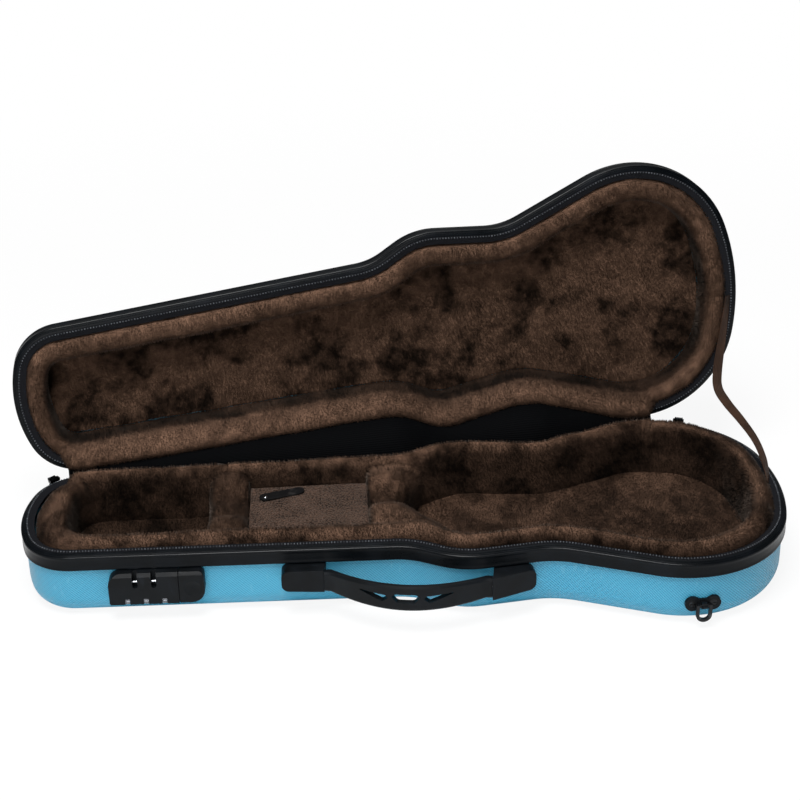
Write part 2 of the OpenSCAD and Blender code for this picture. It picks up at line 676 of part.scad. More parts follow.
// Numbered dial with a knurled edge
knurl_count = 10;
module dial(x) {
    color([0.75, 0.76, 0.78]) on_neck_wall(lock_x) translate([x, dial_y, dial_z]) difference() {
        rod_x(dial_r, -dial_w / 2, dial_w / 2);
        rod_x(axle_r + axle_clear, -dial_w, dial_w);
        for (i = [0 : knurl_count - 1]) rotate([360 * i / knurl_count, 0, 0])
            translate([0, 0, dial_r + 0.3]) rod_x(0.8, -dial_w, dial_w);
    }
}
module dial_a() {
    dial(dial_x[0]);
}
module dial_b() {
    dial(dial_x[1]);
}
module dial_c() {
    dial(dial_x[2]);
}

// Sliding release with a round thumb dimple, running on the lock's rail
module lock_release() {
    gap = 0.3;
    zm = (lock_top + lock_bottom) / 2;
    dimple_r = 22;
    color([0.12, 0.13, 0.15]) on_neck_wall(lock_x) difference() {
        translate([0, -wall_touch - gap, 0]) rotate([90, 0, 0]) linear_extrude(lock_out - gap)
            polygon(rounded([[lock_x1 + gap, lock_bottom, 0], [lock_l / 2, lock_bottom, 13],
                             [lock_l / 2, lock_top, 5], [lock_x1 + gap, lock_top, 0]]));
        translate([lock_x1 - 1, -lock_out - wall_touch, lock_top - lock_bevel]) rotate([45, 0, 0])
            translate([0, -6, 0]) cube([release_l + 3, 12, 6]);
        block([lock_x1 - 1, -2 - wall_touch - gap, zm - rail_neck - gap],
              [lock_x1 + release_l - 2, 1, zm + rail_neck + gap]);
        block([lock_x1 - 1, -4 - wall_touch - gap, zm - rail_flange - gap],
              [lock_x1 + release_l - 2, -2 - wall_touch + gap, zm + rail_flange + gap]);
        translate([lock_x1 + release_l / 2 + 1, -lock_out - dimple_r + 1.6, zm - 1])
            sphere(r = dimple_r, $fn = 64);
    }
}

// Half space on the grip's side of a cap
module grip_side(x0, x1) {
    on_handle_axis() block([x0, -60, -40], [x1, 60, 40]);
}
cap_pin_in = 5;
grip_pin_in = 5.5;
grip_gap = 0.3;
module handle_cap_left() {
    color([0.12, 0.13, 0.15]) difference() {
        on_neck_wall(cap_left_x) translate([0, -wall_touch, 0]) rotate([90, 0, 0])
            linear_extrude(cap_left_out)
            polygon(rounded([[-cap_l, handle_z - cap_h / 2 + 2.5, 7], [6, handle_z - cap_h / 2, 0],
                             [6, handle_z + cap_h / 2, 0], [-cap_l, handle_z + cap_h / 2, 7]]));
        grip_side(0, 40);
        on_handle_axis() rod_x(pivot_r, -cap_pin_in, 5);
        cap_screw_places() rod_y(screw_r + 0.02, -screw_bite, 1);
    }
}
module handle_cap_right() {
    color([0.12, 0.13, 0.15]) difference() {
        on_bout_wall(cap_right_x) intersection() {
            translate([0, -wall_touch, 0]) rotate([90, 0, 0]) linear_extrude(cap_right_out + 4)
                polygon(rounded([[-8, handle_z - cap_h / 2, 0], [cap_l, handle_z - cap_h / 2 + 2.5, 7],
                                 [cap_l, handle_z + cap_h / 2, 7], [-8, handle_z + cap_h / 2, 0]]));
            translate([0, 0, handle_z - cap_h]) linear_extrude(2 * cap_h)
                polygon([[-8, 0], [-8, -cap_right_out - 1.2], [0, -cap_right_out], [cap_l, -cap_far_out],
                         [cap_l, 0]]);
        }
        grip_side(handle_span - 40, handle_span);
        on_handle_axis() rod_x(pivot_r, handle_span - 5, handle_span + cap_pin_in);
        cap_screw_places() rod_y(screw_r + 0.02, -screw_bite, 1);
    }
}

// Stiffening plates behind the walls under the handle caps
module handle_plates() {
    color([0.55, 0.56, 0.58]) difference() {
        union() {
            on_neck_wall(cap_left_x - cap_l / 2 - 3)
                block([-14, plate_y, handle_z - 6], [14, plate_y + plate_t, handle_z + 6]);
            on_bout_wall(cap_right_x + cap_l / 2 + 3)
                block([-14, plate_y, handle_z - 6], [14, plate_y + plate_t, handle_z + 6]);
        }
        cap_screw_places() rod_y(screw_r + drill_gap, plate_y - 1, plate_y + plate_t + 1);
    }
}
module handle_screws() {
    color([0.7, 0.7, 0.72]) cap_screw_places() wall_screw();
}

// Pins that the grip swings on
module handle_pins() {
    color([0.7, 0.7, 0.72]) on_handle_axis() {
        rod_x(pivot_r - 0.01, -cap_pin_in + 0.2, grip_pin_in);
        rod_x(pivot_r - 0.01, handle_span - grip_pin_in, handle_span + cap_pin_in - 0.2);
    }
}

// Bowed grip with bevelled edges and a round opening between two pointed ones
lug_l = 6.5;
grip_steps = 24;
grip_bevel = 1.5;
module handle_grip() {
    half = handle_span / 2;
    arch = half - lug_l;
    lug_x = half - grip_gap;
    xs = [for (i = [0 : grip_steps]) -arch + 2 * arch * i / grip_steps];
    function bow_y(x) = -grip_bow * (1 - x * x / (arch * arch));
    function lean(x) = sqrt(1 + pow(2 * grip_bow * x / (arch * arch), 2));
    function flare(x) = grip_flare * pow(abs(x) / arch, 4);
    function level(x, s, drop) =
        s * (grip_h / 2 + grip_rise / 2 * max(0, 1 - x * x / (arch * arch)) - drop);
    function plan(t, s, drop) =
        concat([[-lug_x, -t / 2 - grip_flare, level(arch, s, drop)]],
               [for (x = xs) [x, bow_y(x) - t / 2 * lean(x) - flare(x), level(x, s, drop)]],
               [[lug_x, -t / 2 - grip_flare, level(arch, s, drop)], [lug_x, t / 2, level(arch, s, drop)]],
               [for (i = [grip_steps : -1 : 0])
                [xs[i], bow_y(xs[i]) + t / 2 * lean(xs[i]), level(xs[i], s, drop)]],
               [[-lug_x, t / 2, level(arch, s, drop)]]);
    thin = grip_t - 2 * grip_bevel;
    color([0.12, 0.13, 0.15]) on_handle_axis() translate([half, 0, 0]) difference() {
        loft([for (q = [[thin, 1, 0], [grip_t, 1, 2], [grip_t, -1, 2], [thin, -1, 0]])
              let (p = plan(q[0], q[1], q[2])) [for (i = [len(p) - 1 : -1 : 0]) p[i]]], false);
        for (s = [-1, 1]) {
            rod_x(pivot_r + pivot_clear, s < 0 ? -half - 1 : half - grip_pin_in - 0.5,
                  s < 0 ? -half + grip_pin_in + 0.5 : half + 1);
            translate([s * 30, 60, 0]) rotate([90, 0, 0]) linear_extrude(160)
                polygon(rounded([[-s * 11, 3, 1.5], [-s * 13, 0, 1.2], [-s * 8, -4.5, 1.5],
                                 [s * 17, 5, 0.6]], 3));
        }
        translate([0, 60, 0]) rotate([90, 0, 0]) linear_extrude(160)
            polygon(rounded([[-13.5, 2.5, 1.5], [-8, -4.5, 4], [8, -4.5, 4], [13.5, 2.5, 1.5], [9, 5, 2.5],
                             [-9, 5, 2.5]], 3));
    }
}

// Plate of the strap ring, hollowed to the wall, with the lug that holds the ring
ring_bar_y = -6.2;
lug_half = 2.6;
ring_bore_clear = 0.06;
module ring_plate() {
    r = lower_r - shell_d;
    color([0.1, 0.11, 0.13]) on_lower_bout() difference() {
        union() {
            for (s = [-1, 1]) translate([s * ring_screw_gap / 2, 0, ring_z])
                rod_y(ring_plate_r, -ring_plate_t, 2);
            block([-ring_screw_gap / 2, -ring_plate_t, ring_z - 5], [ring_screw_gap / 2, 2, ring_z + 5]);
            block([-lug_half, ring_bar_y, ring_z - 3], [lug_half, 0, ring_z + 3]);
            translate([0, ring_bar_y, ring_z]) rod_x(3, -lug_half, lug_half);
        }
        translate([0, r, ring_z - 20]) cylinder(r = r + wall_touch, h = 40, $fn = 180);
        translate([0, ring_bar_y, ring_z]) rod_x(ring_bar_r + ring_bore_clear, -10, 10);
        for (s = [-1, 1]) translate([s * ring_screw_gap / 2, 0, ring_z]) {
            rod_y(screw_r + drill_gap, -10, 10);
            rod_y(head_r + 0.2, -10, -1);
        }
    }
}
module ring_screws() {
    color([0.15, 0.15, 0.16]) ring_screw_places() {
        rod_y(screw_r, -1.2, 4);
        difference() {
            rod_y(head_r, -2.2, -1.02);
            block([-3, -4, -0.5], [3, -1.7, 0.5]);
            block([-0.5, -4, -3], [0.5, -1.7, 3]);
        }
    }
}

// Strap ring hanging in the lug
module strap_ring() {
    w = ring_in_w / 2;
    t = 2 * ring_bar_r;
    function hoop(a, h) = concat([[-a, 0]], [for (i = [0 : 12]) let (u = 180 + 180 * i / 12)
                                  [a * cos(u), -h + a + a * sin(u)]], [[a, 0]]);
    color([0.1, 0.1, 0.11]) on_lower_bout() translate([0, ring_bar_y, ring_z]) {
        rod_x(ring_bar_r, -w - eps, w + eps);
        translate([0, ring_bar_r, 0]) rotate([90, 0, 0]) linear_extrude(t) difference() {
            polygon(concat(hoop(w + t, ring_in_h + t), [[w + t, ring_bar_r], [-w - t, ring_bar_r]]));
            polygon(concat(hoop(w, ring_in_h), [[w, ring_bar_r + 1], [-w, ring_bar_r + 1]]));
        }
    }
}

// Frames of the zip sliders: x along the zip, y into the case, z from the middle of the zip
module on_head_corner() {
    t = hinge_n + slider_head_turn;
    p = round_point(rounds[1], t, 0);
    translate([p[0], p[1], mouth + zip_gap / 2]) rotate([0, 0, t + 90]) children();
}
module on_tail_corner() {
    t = hinge_n - slider_tail_turn;
    p = round_point(rounds[5], t, 0);
    translate([p[0], p[1], mouth + zip_gap / 2]) rotate([0, 0, t + 90]) children();
}
pull_pin_r = 0.8;
pull_y = -1.7;
ear_x = 2.6;
module zip_slider() {
    color([0.6, 0.6, 0.62]) {
        block([-slider_l / 2, 0.5, -1.6], [slider_l / 2, tape_d - 0.4, 1.6]);
        for (s = [-1, 1]) block([s < 0 ? -ear_x - 1.4 : ear_x, pull_y - 1.1, -1.4],
                                [s < 0 ? -ear_x : ear_x + 1.4, 0.6, 1.4]);
        translate([0, pull_y, 0]) rod_x(pull_pin_r, -ear_x - 0.5, ear_x + 0.5);
    }
}
module zip_pull() {
    color([0.6, 0.6, 0.62]) translate([0, pull_y, 0]) difference() {
        union() {
            rod_x(1.6, -ear_x + 0.3, ear_x - 0.3);
            translate([0, 0.8, 0]) rotate([90, 0, 0]) linear_extrude(1.6)
                polygon(rounded([[-ear_x + 0.3, 0, 0], [-ear_x + 0.3, -4, 0], [-4, -8, 1], [-4, -pull_l, 2.5],
                                 [4, -pull_l, 2.5], [4, -8, 1], [ear_x - 0.3, -4, 0],
                                 [ear_x - 0.3, 0, 0]], 3));
        }
        rod_x(pull_pin_r + pull_clear, -5, 5);
        translate([0, 0, 4 - pull_l]) rod_y(1.8, -3, 3);
    }
}
module zip_slider_head() {
    on_head_corner() zip_slider();
}
module zip_slider_tail() {
    on_tail_corner() zip_slider();
}
module zip_pull_head() {
    on_head_corner() zip_pull();
}
module zip_pull_tail() {
    on_tail_corner() zip_pull();
}

// Domed moulded shell of the lid
dome_steps = 6;
module lid_shell() {
    rise = lid_h - dome_start;
    outer = [for (i = [0 : dome_steps]) let (t = 90 * i / dome_steps)
             [shell_d + dome_reach * (1 - cos(t)), dome_start + rise * sin(t)]];
    inner = [for (i = [0 : dome_steps]) let (t = 90 * i / dome_steps)
             [shell_in + (dome_reach - wall_t) * (1 - cos(t)), dome_start + (rise - wall_t) * sin(t)]];
    low = rim_bevel + 2.1;
    profile = concat([for (i = [dome_steps : -1 : 0]) inner[i]], [[shell_in, low], [shell_d, low]], outer);
    color([0.29, 0.68, 0.84]) opened() loft([for (q = profile) lift(outline(q[0]), lid_mouth + q[1])], false);
}

// Black rim of the lid
module lid_rim() {
    color([0.1, 0.11, 0.13]) opened() edge_run(flipped(rim_section, lid_mouth), 0, count);
}

// Zip tape of the lid
module lid_zip() {
    color([0.08, 0.08, 0.09]) opened()
        edge_run(flipped(zip_section, lid_mouth), hinge_head, count + hinge_tail);
}

// Padded plush border of the lid
lid_in = lining_d + lid_border_w;
lid_profile = [[1, lid_recess + lid_board_t], [1, lid_recess - 16], [0.9, 9], [0.66, 2.5], [0.38, 0.5],
               [0.14, 1.7], [0, 5], [0, dome_start]];
function recess(d) = [for (p = outline(d)) [p[0], p[1] + lid_recess_shift]];
module lid_border() {
    a = outline(lining_d);
    b = recess(lid_in);
    color([0.3, 0.2, 0.15]) opened()
        loft([for (q = lid_profile) between(a, b, q[0], lid_mouth + q[1])], true);
}

// Padded board at the bottom of the lid's recess
module lid_floor() {
    color([0.27, 0.18, 0.13]) opened() translate([0, 0, lid_mouth + lid_recess]) linear_extrude(lid_board_t)
        polygon(recess(lid_in + lining_gap));
}

// Padded lid of the accessory box
module box_lid() {
    color([0.33, 0.24, 0.19]) block([box_x0 + 0.5, channel_y0 + 0.5, box_top - box_lid_t],
                                    [box_x1 - 0.5, channel_y1 - 0.5, box_top]);
}

// Leather lifting tab with its rivet
tab_turn = 17;
tab_off = [16, 24.7];
module on_box_lid() {
    translate([box_x0 + tab_off[0], channel_y1 - tab_off[1], box_top]) rotate([0, 0, tab_turn]) children();
}
module box_tab() {
    r = tab_w / 2;
    color([0.05, 0.05, 0.06]) on_box_lid() translate([0, 0, 0.02]) linear_extrude(tab_t) difference() {
        polygon(rounded([[-r, -r, r - 0.1], [tab_l - r, -r, r - 0.1], [tab_l - r, r, r - 0.1],
                         [-r, r, r - 0.1]], 6));
        circle(r = rivet_r + 0.05);
    }
}
rivet_r = 1.2;
rivet_head_r = 3;
module tab_rivet() {
    color([0.8, 0.8, 0.82]) on_box_lid() {
        translate([0, 0, 0.02]) cylinder(r = rivet_r, h = tab_t + 0.5);
        translate([0, 0, tab_t + 0.04]) cylinder(r1 = rivet_head_r, r2 = rivet_head_r - 0.9, h = 1);
    }
}

base_shell();
base_rim();
base_zip();
head_border();
body_border();
base_floor();
head_divider();
neck_rest();
box_ledges();
hinge_gusset();
lid_strap();
lock_body();
lock_plate();
lock_screws();
lock_posts();
dial_axle();
handle_cap_left();
handle_cap_right();
handle_plates();
handle_screws();
handle_pins();
ring_plate();
ring_screws();
zip_slider_head();
zip_slider_tail();
lid_shell();
lid_rim();
lid_zip();
lid_border();
lid_floor();
handle_grip();
dial_a();
dial_b();
dial_c();
lock_release();
strap_ring();
box_lid();
box_tab();
tab_rivet();
zip_pull_head();
zip_pull_tail();
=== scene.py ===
import math

import bmesh
import bpy
import numpy as np
from mathutils import Matrix, Vector, noise


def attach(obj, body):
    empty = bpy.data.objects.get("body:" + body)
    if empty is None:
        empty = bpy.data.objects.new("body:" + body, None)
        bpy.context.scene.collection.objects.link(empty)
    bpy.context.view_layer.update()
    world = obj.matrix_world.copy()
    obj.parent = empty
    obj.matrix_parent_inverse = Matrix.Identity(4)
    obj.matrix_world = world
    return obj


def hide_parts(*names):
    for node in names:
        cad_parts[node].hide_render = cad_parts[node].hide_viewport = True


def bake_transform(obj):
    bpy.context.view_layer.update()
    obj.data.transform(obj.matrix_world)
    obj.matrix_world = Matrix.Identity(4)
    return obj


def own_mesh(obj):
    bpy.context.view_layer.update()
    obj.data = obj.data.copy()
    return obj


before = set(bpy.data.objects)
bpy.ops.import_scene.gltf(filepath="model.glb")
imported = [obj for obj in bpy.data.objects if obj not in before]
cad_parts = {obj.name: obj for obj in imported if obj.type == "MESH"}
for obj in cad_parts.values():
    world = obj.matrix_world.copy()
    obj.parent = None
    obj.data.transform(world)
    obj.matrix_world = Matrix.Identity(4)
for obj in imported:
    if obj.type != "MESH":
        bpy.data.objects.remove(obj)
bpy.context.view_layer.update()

# The camera: a long lens on white, a little above the open case and nearly square on to its front.
# Its place, turn and lens were fitted to the photograph's outline, lock, handle and lid edge.
scene = bpy.context.scene
scene.view_settings.view_transform = "Standard"
camera = bpy.data.objects.new("camera", bpy.data.cameras.new("camera"))
camera.data.lens = 79.76
camera.data.sensor_width = 36.0
camera.data.clip_end = 30.0
eye_place = (-0.0648, -1.4750, 0.9711)
eye_right = Vector((0.99839, -0.05318, -0.01958))
eye_up = Vector((0.04235, 0.47071, 0.88127))
eye_turn = Matrix((eye_right, eye_up, eye_right.cross(eye_up))).transposed().to_4x4()
camera.matrix_world = Matrix.Translation(eye_place) @ eye_turn
scene.collection.objects.link(camera)
scene.camera = camera

# The studio: a white floor that keeps a faint shadow, white all round for the camera, and three soft lamps,
# one overhead that leaves the hollows dark, one low in front for the wall and one behind the lid.


class Wire:
    """One output of a node. Sums, differences and products of wires add Math nodes to the tree."""

    def __init__(self, tree, socket=None):
        self.tree, self.socket = tree, socket

    def node(self, kind, settings=(), inputs=(), out=0):
        """A new node of any kind: its settings are set first, then its inputs' values or links."""
        made = self.tree.nodes.new(kind)
        for key, value in dict(settings).items():
            setattr(made, key, value)
        for key, value in dict(inputs).items():
            if isinstance(value, Wire):
                self.tree.links.new(value.socket, made.inputs[key])
            else:
                made.inputs[key].default_value = value
        return Wire(self.tree, made.outputs[out])

    def also(self, out):
        """Another output of the same node."""
        return Wire(self.tree, self.socket.node.outputs[out])

    def maths(self, operation, *others):
        return self.node("ShaderNodeMath", {"operation": operation}, enumerate((self,) + others))

    def __add__(self, other):
        return self.maths("ADD", other)

    def __mul__(self, other):
        return self.maths("MULTIPLY", other)

    def __sub__(self, other):
        return self.maths("SUBTRACT", other)

    def __rsub__(self, other):
        return self * -1.0 + other

    __radd__, __rmul__ = __add__, __mul__

    def ramp(self, low, high, start=0.0, end=1.0):
        """A smooth step from start to end while the value goes from low to high."""
        return self.node("ShaderNodeMapRange", {"interpolation_type": "SMOOTHSTEP"},
                         {0: self, 1: low, 2: high, 3: start, 4: end})

    def mix(self, a, b):
        """Colour a where the value is 0 and colour b where it is 1."""
        return self.node("ShaderNodeMix", {"data_type": "RGBA"}, {0: self, 6: a, 7: b}, 2)


ROOM_LIGHT = 0.12
FLOOR_HALF, FLOOR_Z = 4.0, -0.0003
SHADOW_END, WHITE_FROM, NEAR_GLOW = 0.5, 1.5, 0.9
WHITE = (1.0, 1.0, 1.0, 1.0)
world = bpy.data.worlds.new("studio")
world.use_nodes = True
scene.world = world
seen = Wire(world.node_tree).node("ShaderNodeLightPath", out="Is Camera Ray")
backdrop = world.node_tree.nodes["Background"]
backdrop.inputs["Color"].default_value = WHITE
world.node_tree.links.new((seen * (1.0 - ROOM_LIGHT) + ROOM_LIGHT).socket, backdrop.inputs["Strength"])
for name, place, aim, size, watts in (
    ("lamp_top", (-0.25, -0.75, 2.0), (0.0, 0.05, 0.0), 0.9, 62.0),
    ("lamp_front", (-0.6, -2.3, 0.9), (0.0, 0.0, 0.1), 1.4, 20.0),
    ("lamp_back", (0.3, 1.3, 1.7), (0.0, 0.1, 0.1), 1.2, 10.0),
):
    lamp = bpy.data.objects.new(name, bpy.data.lights.new(name, "AREA"))
    lamp.data.size = size
    lamp.data.energy = watts
    lamp.location = place
    lamp.rotation_euler = (Vector(aim) - Vector(place)).to_track_quat("-Z", "Y").to_euler()
    scene.collection.objects.link(lamp)
floor = bpy.data.objects.new("floor", bpy.data.meshes.new("floor"))
corners = [(x * FLOOR_HALF, y * FLOOR_HALF, FLOOR_Z) for x, y in ((-1, -1), (1, -1), (1, 1), (-1, 1))]
floor.data.from_pydata(corners, [], [(0, 1, 2, 3)])
scene.collection.objects.link(floor)
white_paint = bpy.data.materials.new("floor")
white_paint.use_nodes = True
ground = Wire(white_paint.node_tree)
matt = ground.node("ShaderNodeBsdfDiffuse", (), {"Color": (0.8, 0.8, 0.8, 1.0)})
glow = ground.node("ShaderNodeEmission", (), {"Color": WHITE, "Strength": 1.0})
eye = ground.node("ShaderNodeLightPath", out="Is Camera Ray")
place = ground.node("ShaderNodeTexCoord", out="Object")
away = ground.node("ShaderNodeVectorMath", {"operation": "LENGTH"}, {0: place}, "Value")
plain = eye * away.ramp(SHADOW_END, WHITE_FROM, NEAR_GLOW, 1.0)
both = ground.node("ShaderNodeMixShader", (), {0: plain, 1: matt, 2: glow})
white_paint.node_tree.links.new(both.socket, white_paint.node_tree.nodes["Material Output"].inputs["Surface"])
floor.data.materials.append(white_paint)

# The hinge gusset: one strip of black ribbed cloth glued inside both rims on the hinge side.
# It stands as a curved web where the waist and the neck lie in from the hinge line.
# Sizes here and below are in mm, and the outline is a belt round seven arcs.
TAIL_X = 370.0
HEAD_W, NECK_W, UPPER_W, WAIST_W, LOWER_W = 152.0, 163.0, 208.0, 192.0, 270.0
NECK_X, UPPER_X, WAIST_X = -15.0, 60.0, 128.0
HEAD_END_R, HEAD_CORNER_R, NECK_R, UPPER_R, WAIST_R, LOWER_R = 130.0, 50.0, 60.0, 70.0, 70.0, 104.0
TAIL_BULGE = 4.0
ARC_STEP = 3.0
MOUTH = 73.0
LID_MOUTH = MOUTH + 0.6
HINGE_OUT = 0.5
OPEN = math.radians(97.0)


def corner_round(end, half_width, r):
    """The round of radius r that touches an end round from inside and reaches half_width."""
    up = half_width - r
    return end[0] - math.sqrt((end[2] - r) ** 2 - up ** 2), end[1] + up, r


def tail_round(bout, x):
    """The round on the middle line that ends at x and touches a bout from outside."""
    reach = x - bout[2]
    middle = (reach ** 2 - bout[0] ** 2 - bout[1] ** 2) / (2 * (reach - bout[0]))
    return middle, 0.0, x - middle


HEAD_END = (HEAD_END_R - TAIL_X, 0.0, HEAD_END_R)
LOWER_BOUT = (TAIL_X - LOWER_R - TAIL_BULGE, LOWER_W / 2 - LOWER_R, LOWER_R)
ROUNDS = [HEAD_END,
          np.round(corner_round(HEAD_END, HEAD_W / 2, HEAD_CORNER_R), 3),
          (NECK_X, NECK_W / 2 + NECK_R, -NECK_R),
          (UPPER_X, UPPER_W / 2 - UPPER_R, UPPER_R),
          (WAIST_X, WAIST_W / 2 + WAIST_R, -WAIST_R),
          LOWER_BOUT,
          tail_round(LOWER_BOUT, TAIL_X)]


def side_normal(a, b):
    """The angle at which a belt leaves round a for round b."""
    dx, dy = b[0] - a[0], b[1] - a[1]
    return math.atan2(dy, dx) + math.acos(max(-1.0, min(1.0, (a[2] - b[2]) / math.hypot(dx, dy))))


def on_round(c, t, d):
    return np.array((c[0] + (c[2] - d) * math.cos(t), c[1] + (c[2] - d) * math.sin(t)))


def turns(rounds):
    return [math.pi] + [side_normal(a, b) for a, b in zip(rounds, rounds[1:])] + [0.0]


def steps(rounds, step):
    """How many points each arc, and the straight run after it, gets."""
    t, found = turns(rounds), []
    for i, c in enumerate(rounds):
        after = rounds[min(i + 1, len(rounds) - 1)]
        run = np.linalg.norm(on_round(after, t[i + 1], 0) - on_round(c, t[i + 1], 0))
        arc = abs(t[i + 1] - t[i]) * abs(c[2])
        found.append((max(2, math.ceil(arc / step)), math.ceil(run / step) if run > 1 else 0))
    return found


STEPS = steps(ROUNDS, ARC_STEP)


def half(rounds, d):
    """One side of a belt, head to tail, moved in by d."""
    t, points = turns(rounds), []
    for i, (c, (arc, run)) in enumerate(zip(rounds, STEPS)):
        points += [on_round(c, t[i] + (t[i + 1] - t[i]) * k / arc, d) for k in range(arc)]
        if run:
            a, b = on_round(c, t[i + 1], d), on_round(rounds[i + 1], t[i + 1], d)
            points += [a + (b - a) * k / run for k in range(run)]
    return np.array(points + [on_round(rounds[-1], 0.0, d)])


def belt(front, back, d):
    """A closed loop from the head along the front to the tail, and back along the hinge side."""
    return np.vstack((half(front, d) * (1, -1), half(back, d)[-2:0:-1]))


def outline(d):
    return belt(ROUNDS, ROUNDS, d)


HALF = len(half(ROUNDS, 0.0))
HINGE_TURN = side_normal(ROUNDS[1], ROUNDS[5])
HINGE = np.append(on_round(ROUNDS[1], HINGE_TURN, -HINGE_OUT), (MOUTH + LID_MOUTH) / 2)
ALONG = np.array((math.sin(HINGE_TURN), -math.cos(HINGE_TURN), 0.0))
OUT = np.array((math.cos(HINGE_TURN), math.sin(HINGE_TURN), 0.0))
UP = np.array((0.0, 0.0, 1.0))


def opened(points):
    """Points of the shut lid carried round the hinge line to where the lid stands."""
    p = np.asarray(points, float) - HINGE
    v, z = p @ OUT, p[..., 2]
    c, s = math.cos(OPEN), math.sin(OPEN)
    swung = (v * c + z * s)[..., None] * OUT + (z * c - v * s)[..., None] * UP
    return HINGE + (p @ ALONG)[..., None] * ALONG + swung


def lift(loop, z):
    return np.column_stack((loop, np.full(len(loop), z)))


def piece(name, points, faces, material, uv=None, sharp=40.0):
    """A mesh object from points in mm, with its corners' places on the cloth or skin as UV in metres."""
    mesh = bpy.data.meshes.new(name)
    mesh.from_pydata((np.asarray(points, float) / 1000.0).tolist(), [], faces)
    if uv is not None:
        run = mesh.uv_layers.new(name="run")
        run.data.foreach_set("uv", np.asarray(uv, np.float32).ravel() / 1000.0)
    mesh.shade_smooth()
    mesh.set_sharp_from_angle(angle=math.radians(sharp))
    mesh.materials.append(material)
    made = bpy.data.objects.new(name, mesh)
    scene.collection.objects.link(made)
    return made


def edge_of(rows, cols):
    """The places (row, column) round the edge of a grid, in order."""
    loop = [(0, c) for c in range(cols)] + [(r, cols - 1) for r in range(1, rows)]
    loop += [(rows - 1, c) for c in range(cols - 2, -1, -1)]
    return loop + [(r, 0) for r in range(rows - 2, 0, -1)]


def thick(name, grid, t, material):
    """A sheet of thickness t through a grid of points, closed at its edges."""
    grid = np.asarray(grid, float)
    normal = np.cross(np.gradient(grid, axis=1), np.gradient(grid, axis=0))
    normal /= np.linalg.norm(normal, axis=2)[..., None]
    rows, cols = grid.shape[:2]
    points = np.vstack(((grid + normal * t / 2).reshape(-1, 3), (grid - normal * t / 2).reshape(-1, 3)))
    u = np.append(0, np.cumsum(np.linalg.norm(np.diff(grid[rows // 2], axis=0), axis=1)))
    v = np.append(0, np.cumsum(np.linalg.norm(np.diff(grid[:, cols // 2], axis=0), axis=1)))
    below, faces, uv = rows * cols, [], []
    for r in range(rows - 1):
        for c in range(cols - 1):
            q = [(r, c), (r, c + 1), (r + 1, c + 1), (r + 1, c)]
            for back, corners in ((0, q[::-1]), (below, q)):
                faces.append([back + i * cols + j for i, j in corners])
                uv += [(u[j], v[i]) for i, j in corners]
    edge = edge_of(rows, cols)
    for (r, c), (r2, c2) in zip(edge, edge[1:] + edge[:1]):
        a, b = r * cols + c, r2 * cols + c2
        faces.append([a, b, b + below, a + below])
        uv += [(u[c], v[r]), (u[c2], v[r2]), (u[c2], v[r2]), (u[c], v[r])]
    return piece(name, points, faces, material, uv)


def tone(colour):
    """A colour written as six hex digits, as the linear values that a shader takes."""
    parts = [int(colour[i:i + 2], 16) / 255 for i in (0, 2, 4)]
    return tuple(p / 12.92 if p <= 0.04045 else ((p + 0.055) / 1.055) ** 2.4 for p in parts) + (1.0,)


def paint(name, fixed, draw):
    """A material: fixed values on the shader's own sockets, and what draw makes on the others."""
    made = bpy.data.materials.new(name)
    made.use_nodes = True
    shader = made.node_tree.nodes["Principled BSDF"]
    for key, value in fixed.items():
        shader.inputs[key].default_value = value
    for key, wire in draw(Wire(made.node_tree)).items():
        made.node_tree.links.new(wire.socket, shader.inputs[key])
    return made


def grain(w, scale, detail=2.0, stretch=(1.0, 1.0, 1.0)):
    """Noise fixed to the piece, with scale in turns for each metre."""
    place = w.node("ShaderNodeTexCoord", out="Object")
    place = w.node("ShaderNodeMapping", (), {"Vector": place, "Scale": stretch})
    return w.node("ShaderNodeTexNoise", (), {"Vector": place, "Scale": scale, "Detail": detail})


def run_of(w):
    """The two distances over a cloth or skin, in metres."""
    run = w.node("ShaderNodeUVMap", {"uv_map": "run"})
    run = w.node("ShaderNodeSeparateXYZ", (), {0: run})
    return run, run.also(1)


def wave(distance, pitch):
    return (distance * (2 * math.pi / pitch)).maths("SINE")


def bump(w, height, distance, strength=1.0):
    return w.node("ShaderNodeBump", (), {"Height": height, "Distance": distance, "Strength": strength})


def ribbed_cloth(w):
    along, over = run_of(w)
    rib = wave(over, 0.0022)
    weave = wave(along, 0.0009) * 0.25
    dust = grain(w, 60.0).ramp(0.45, 0.75)
    light = rib.ramp(-1.0, 1.0, 0.0, 0.6) + dust * 0.3
    return {"Base Color": light.mix(tone("020203"), tone("070809")), "Roughness": dust * 0.1 + 0.75,
            "Normal": bump(w, rib + weave, 0.0001)}


GUSSET_INSET, GUSSET_T = 6.05, 0.8
GUSSET_GLUED = (14.0, 7.0, 0.6)
GUSSET_SAG = 0.03
WEB_SHARES = np.linspace(0.03, 0.97, 15)
gusset_cloth = paint("gusset_cloth", {"Specular IOR Level": 0.03}, ribbed_cloth)
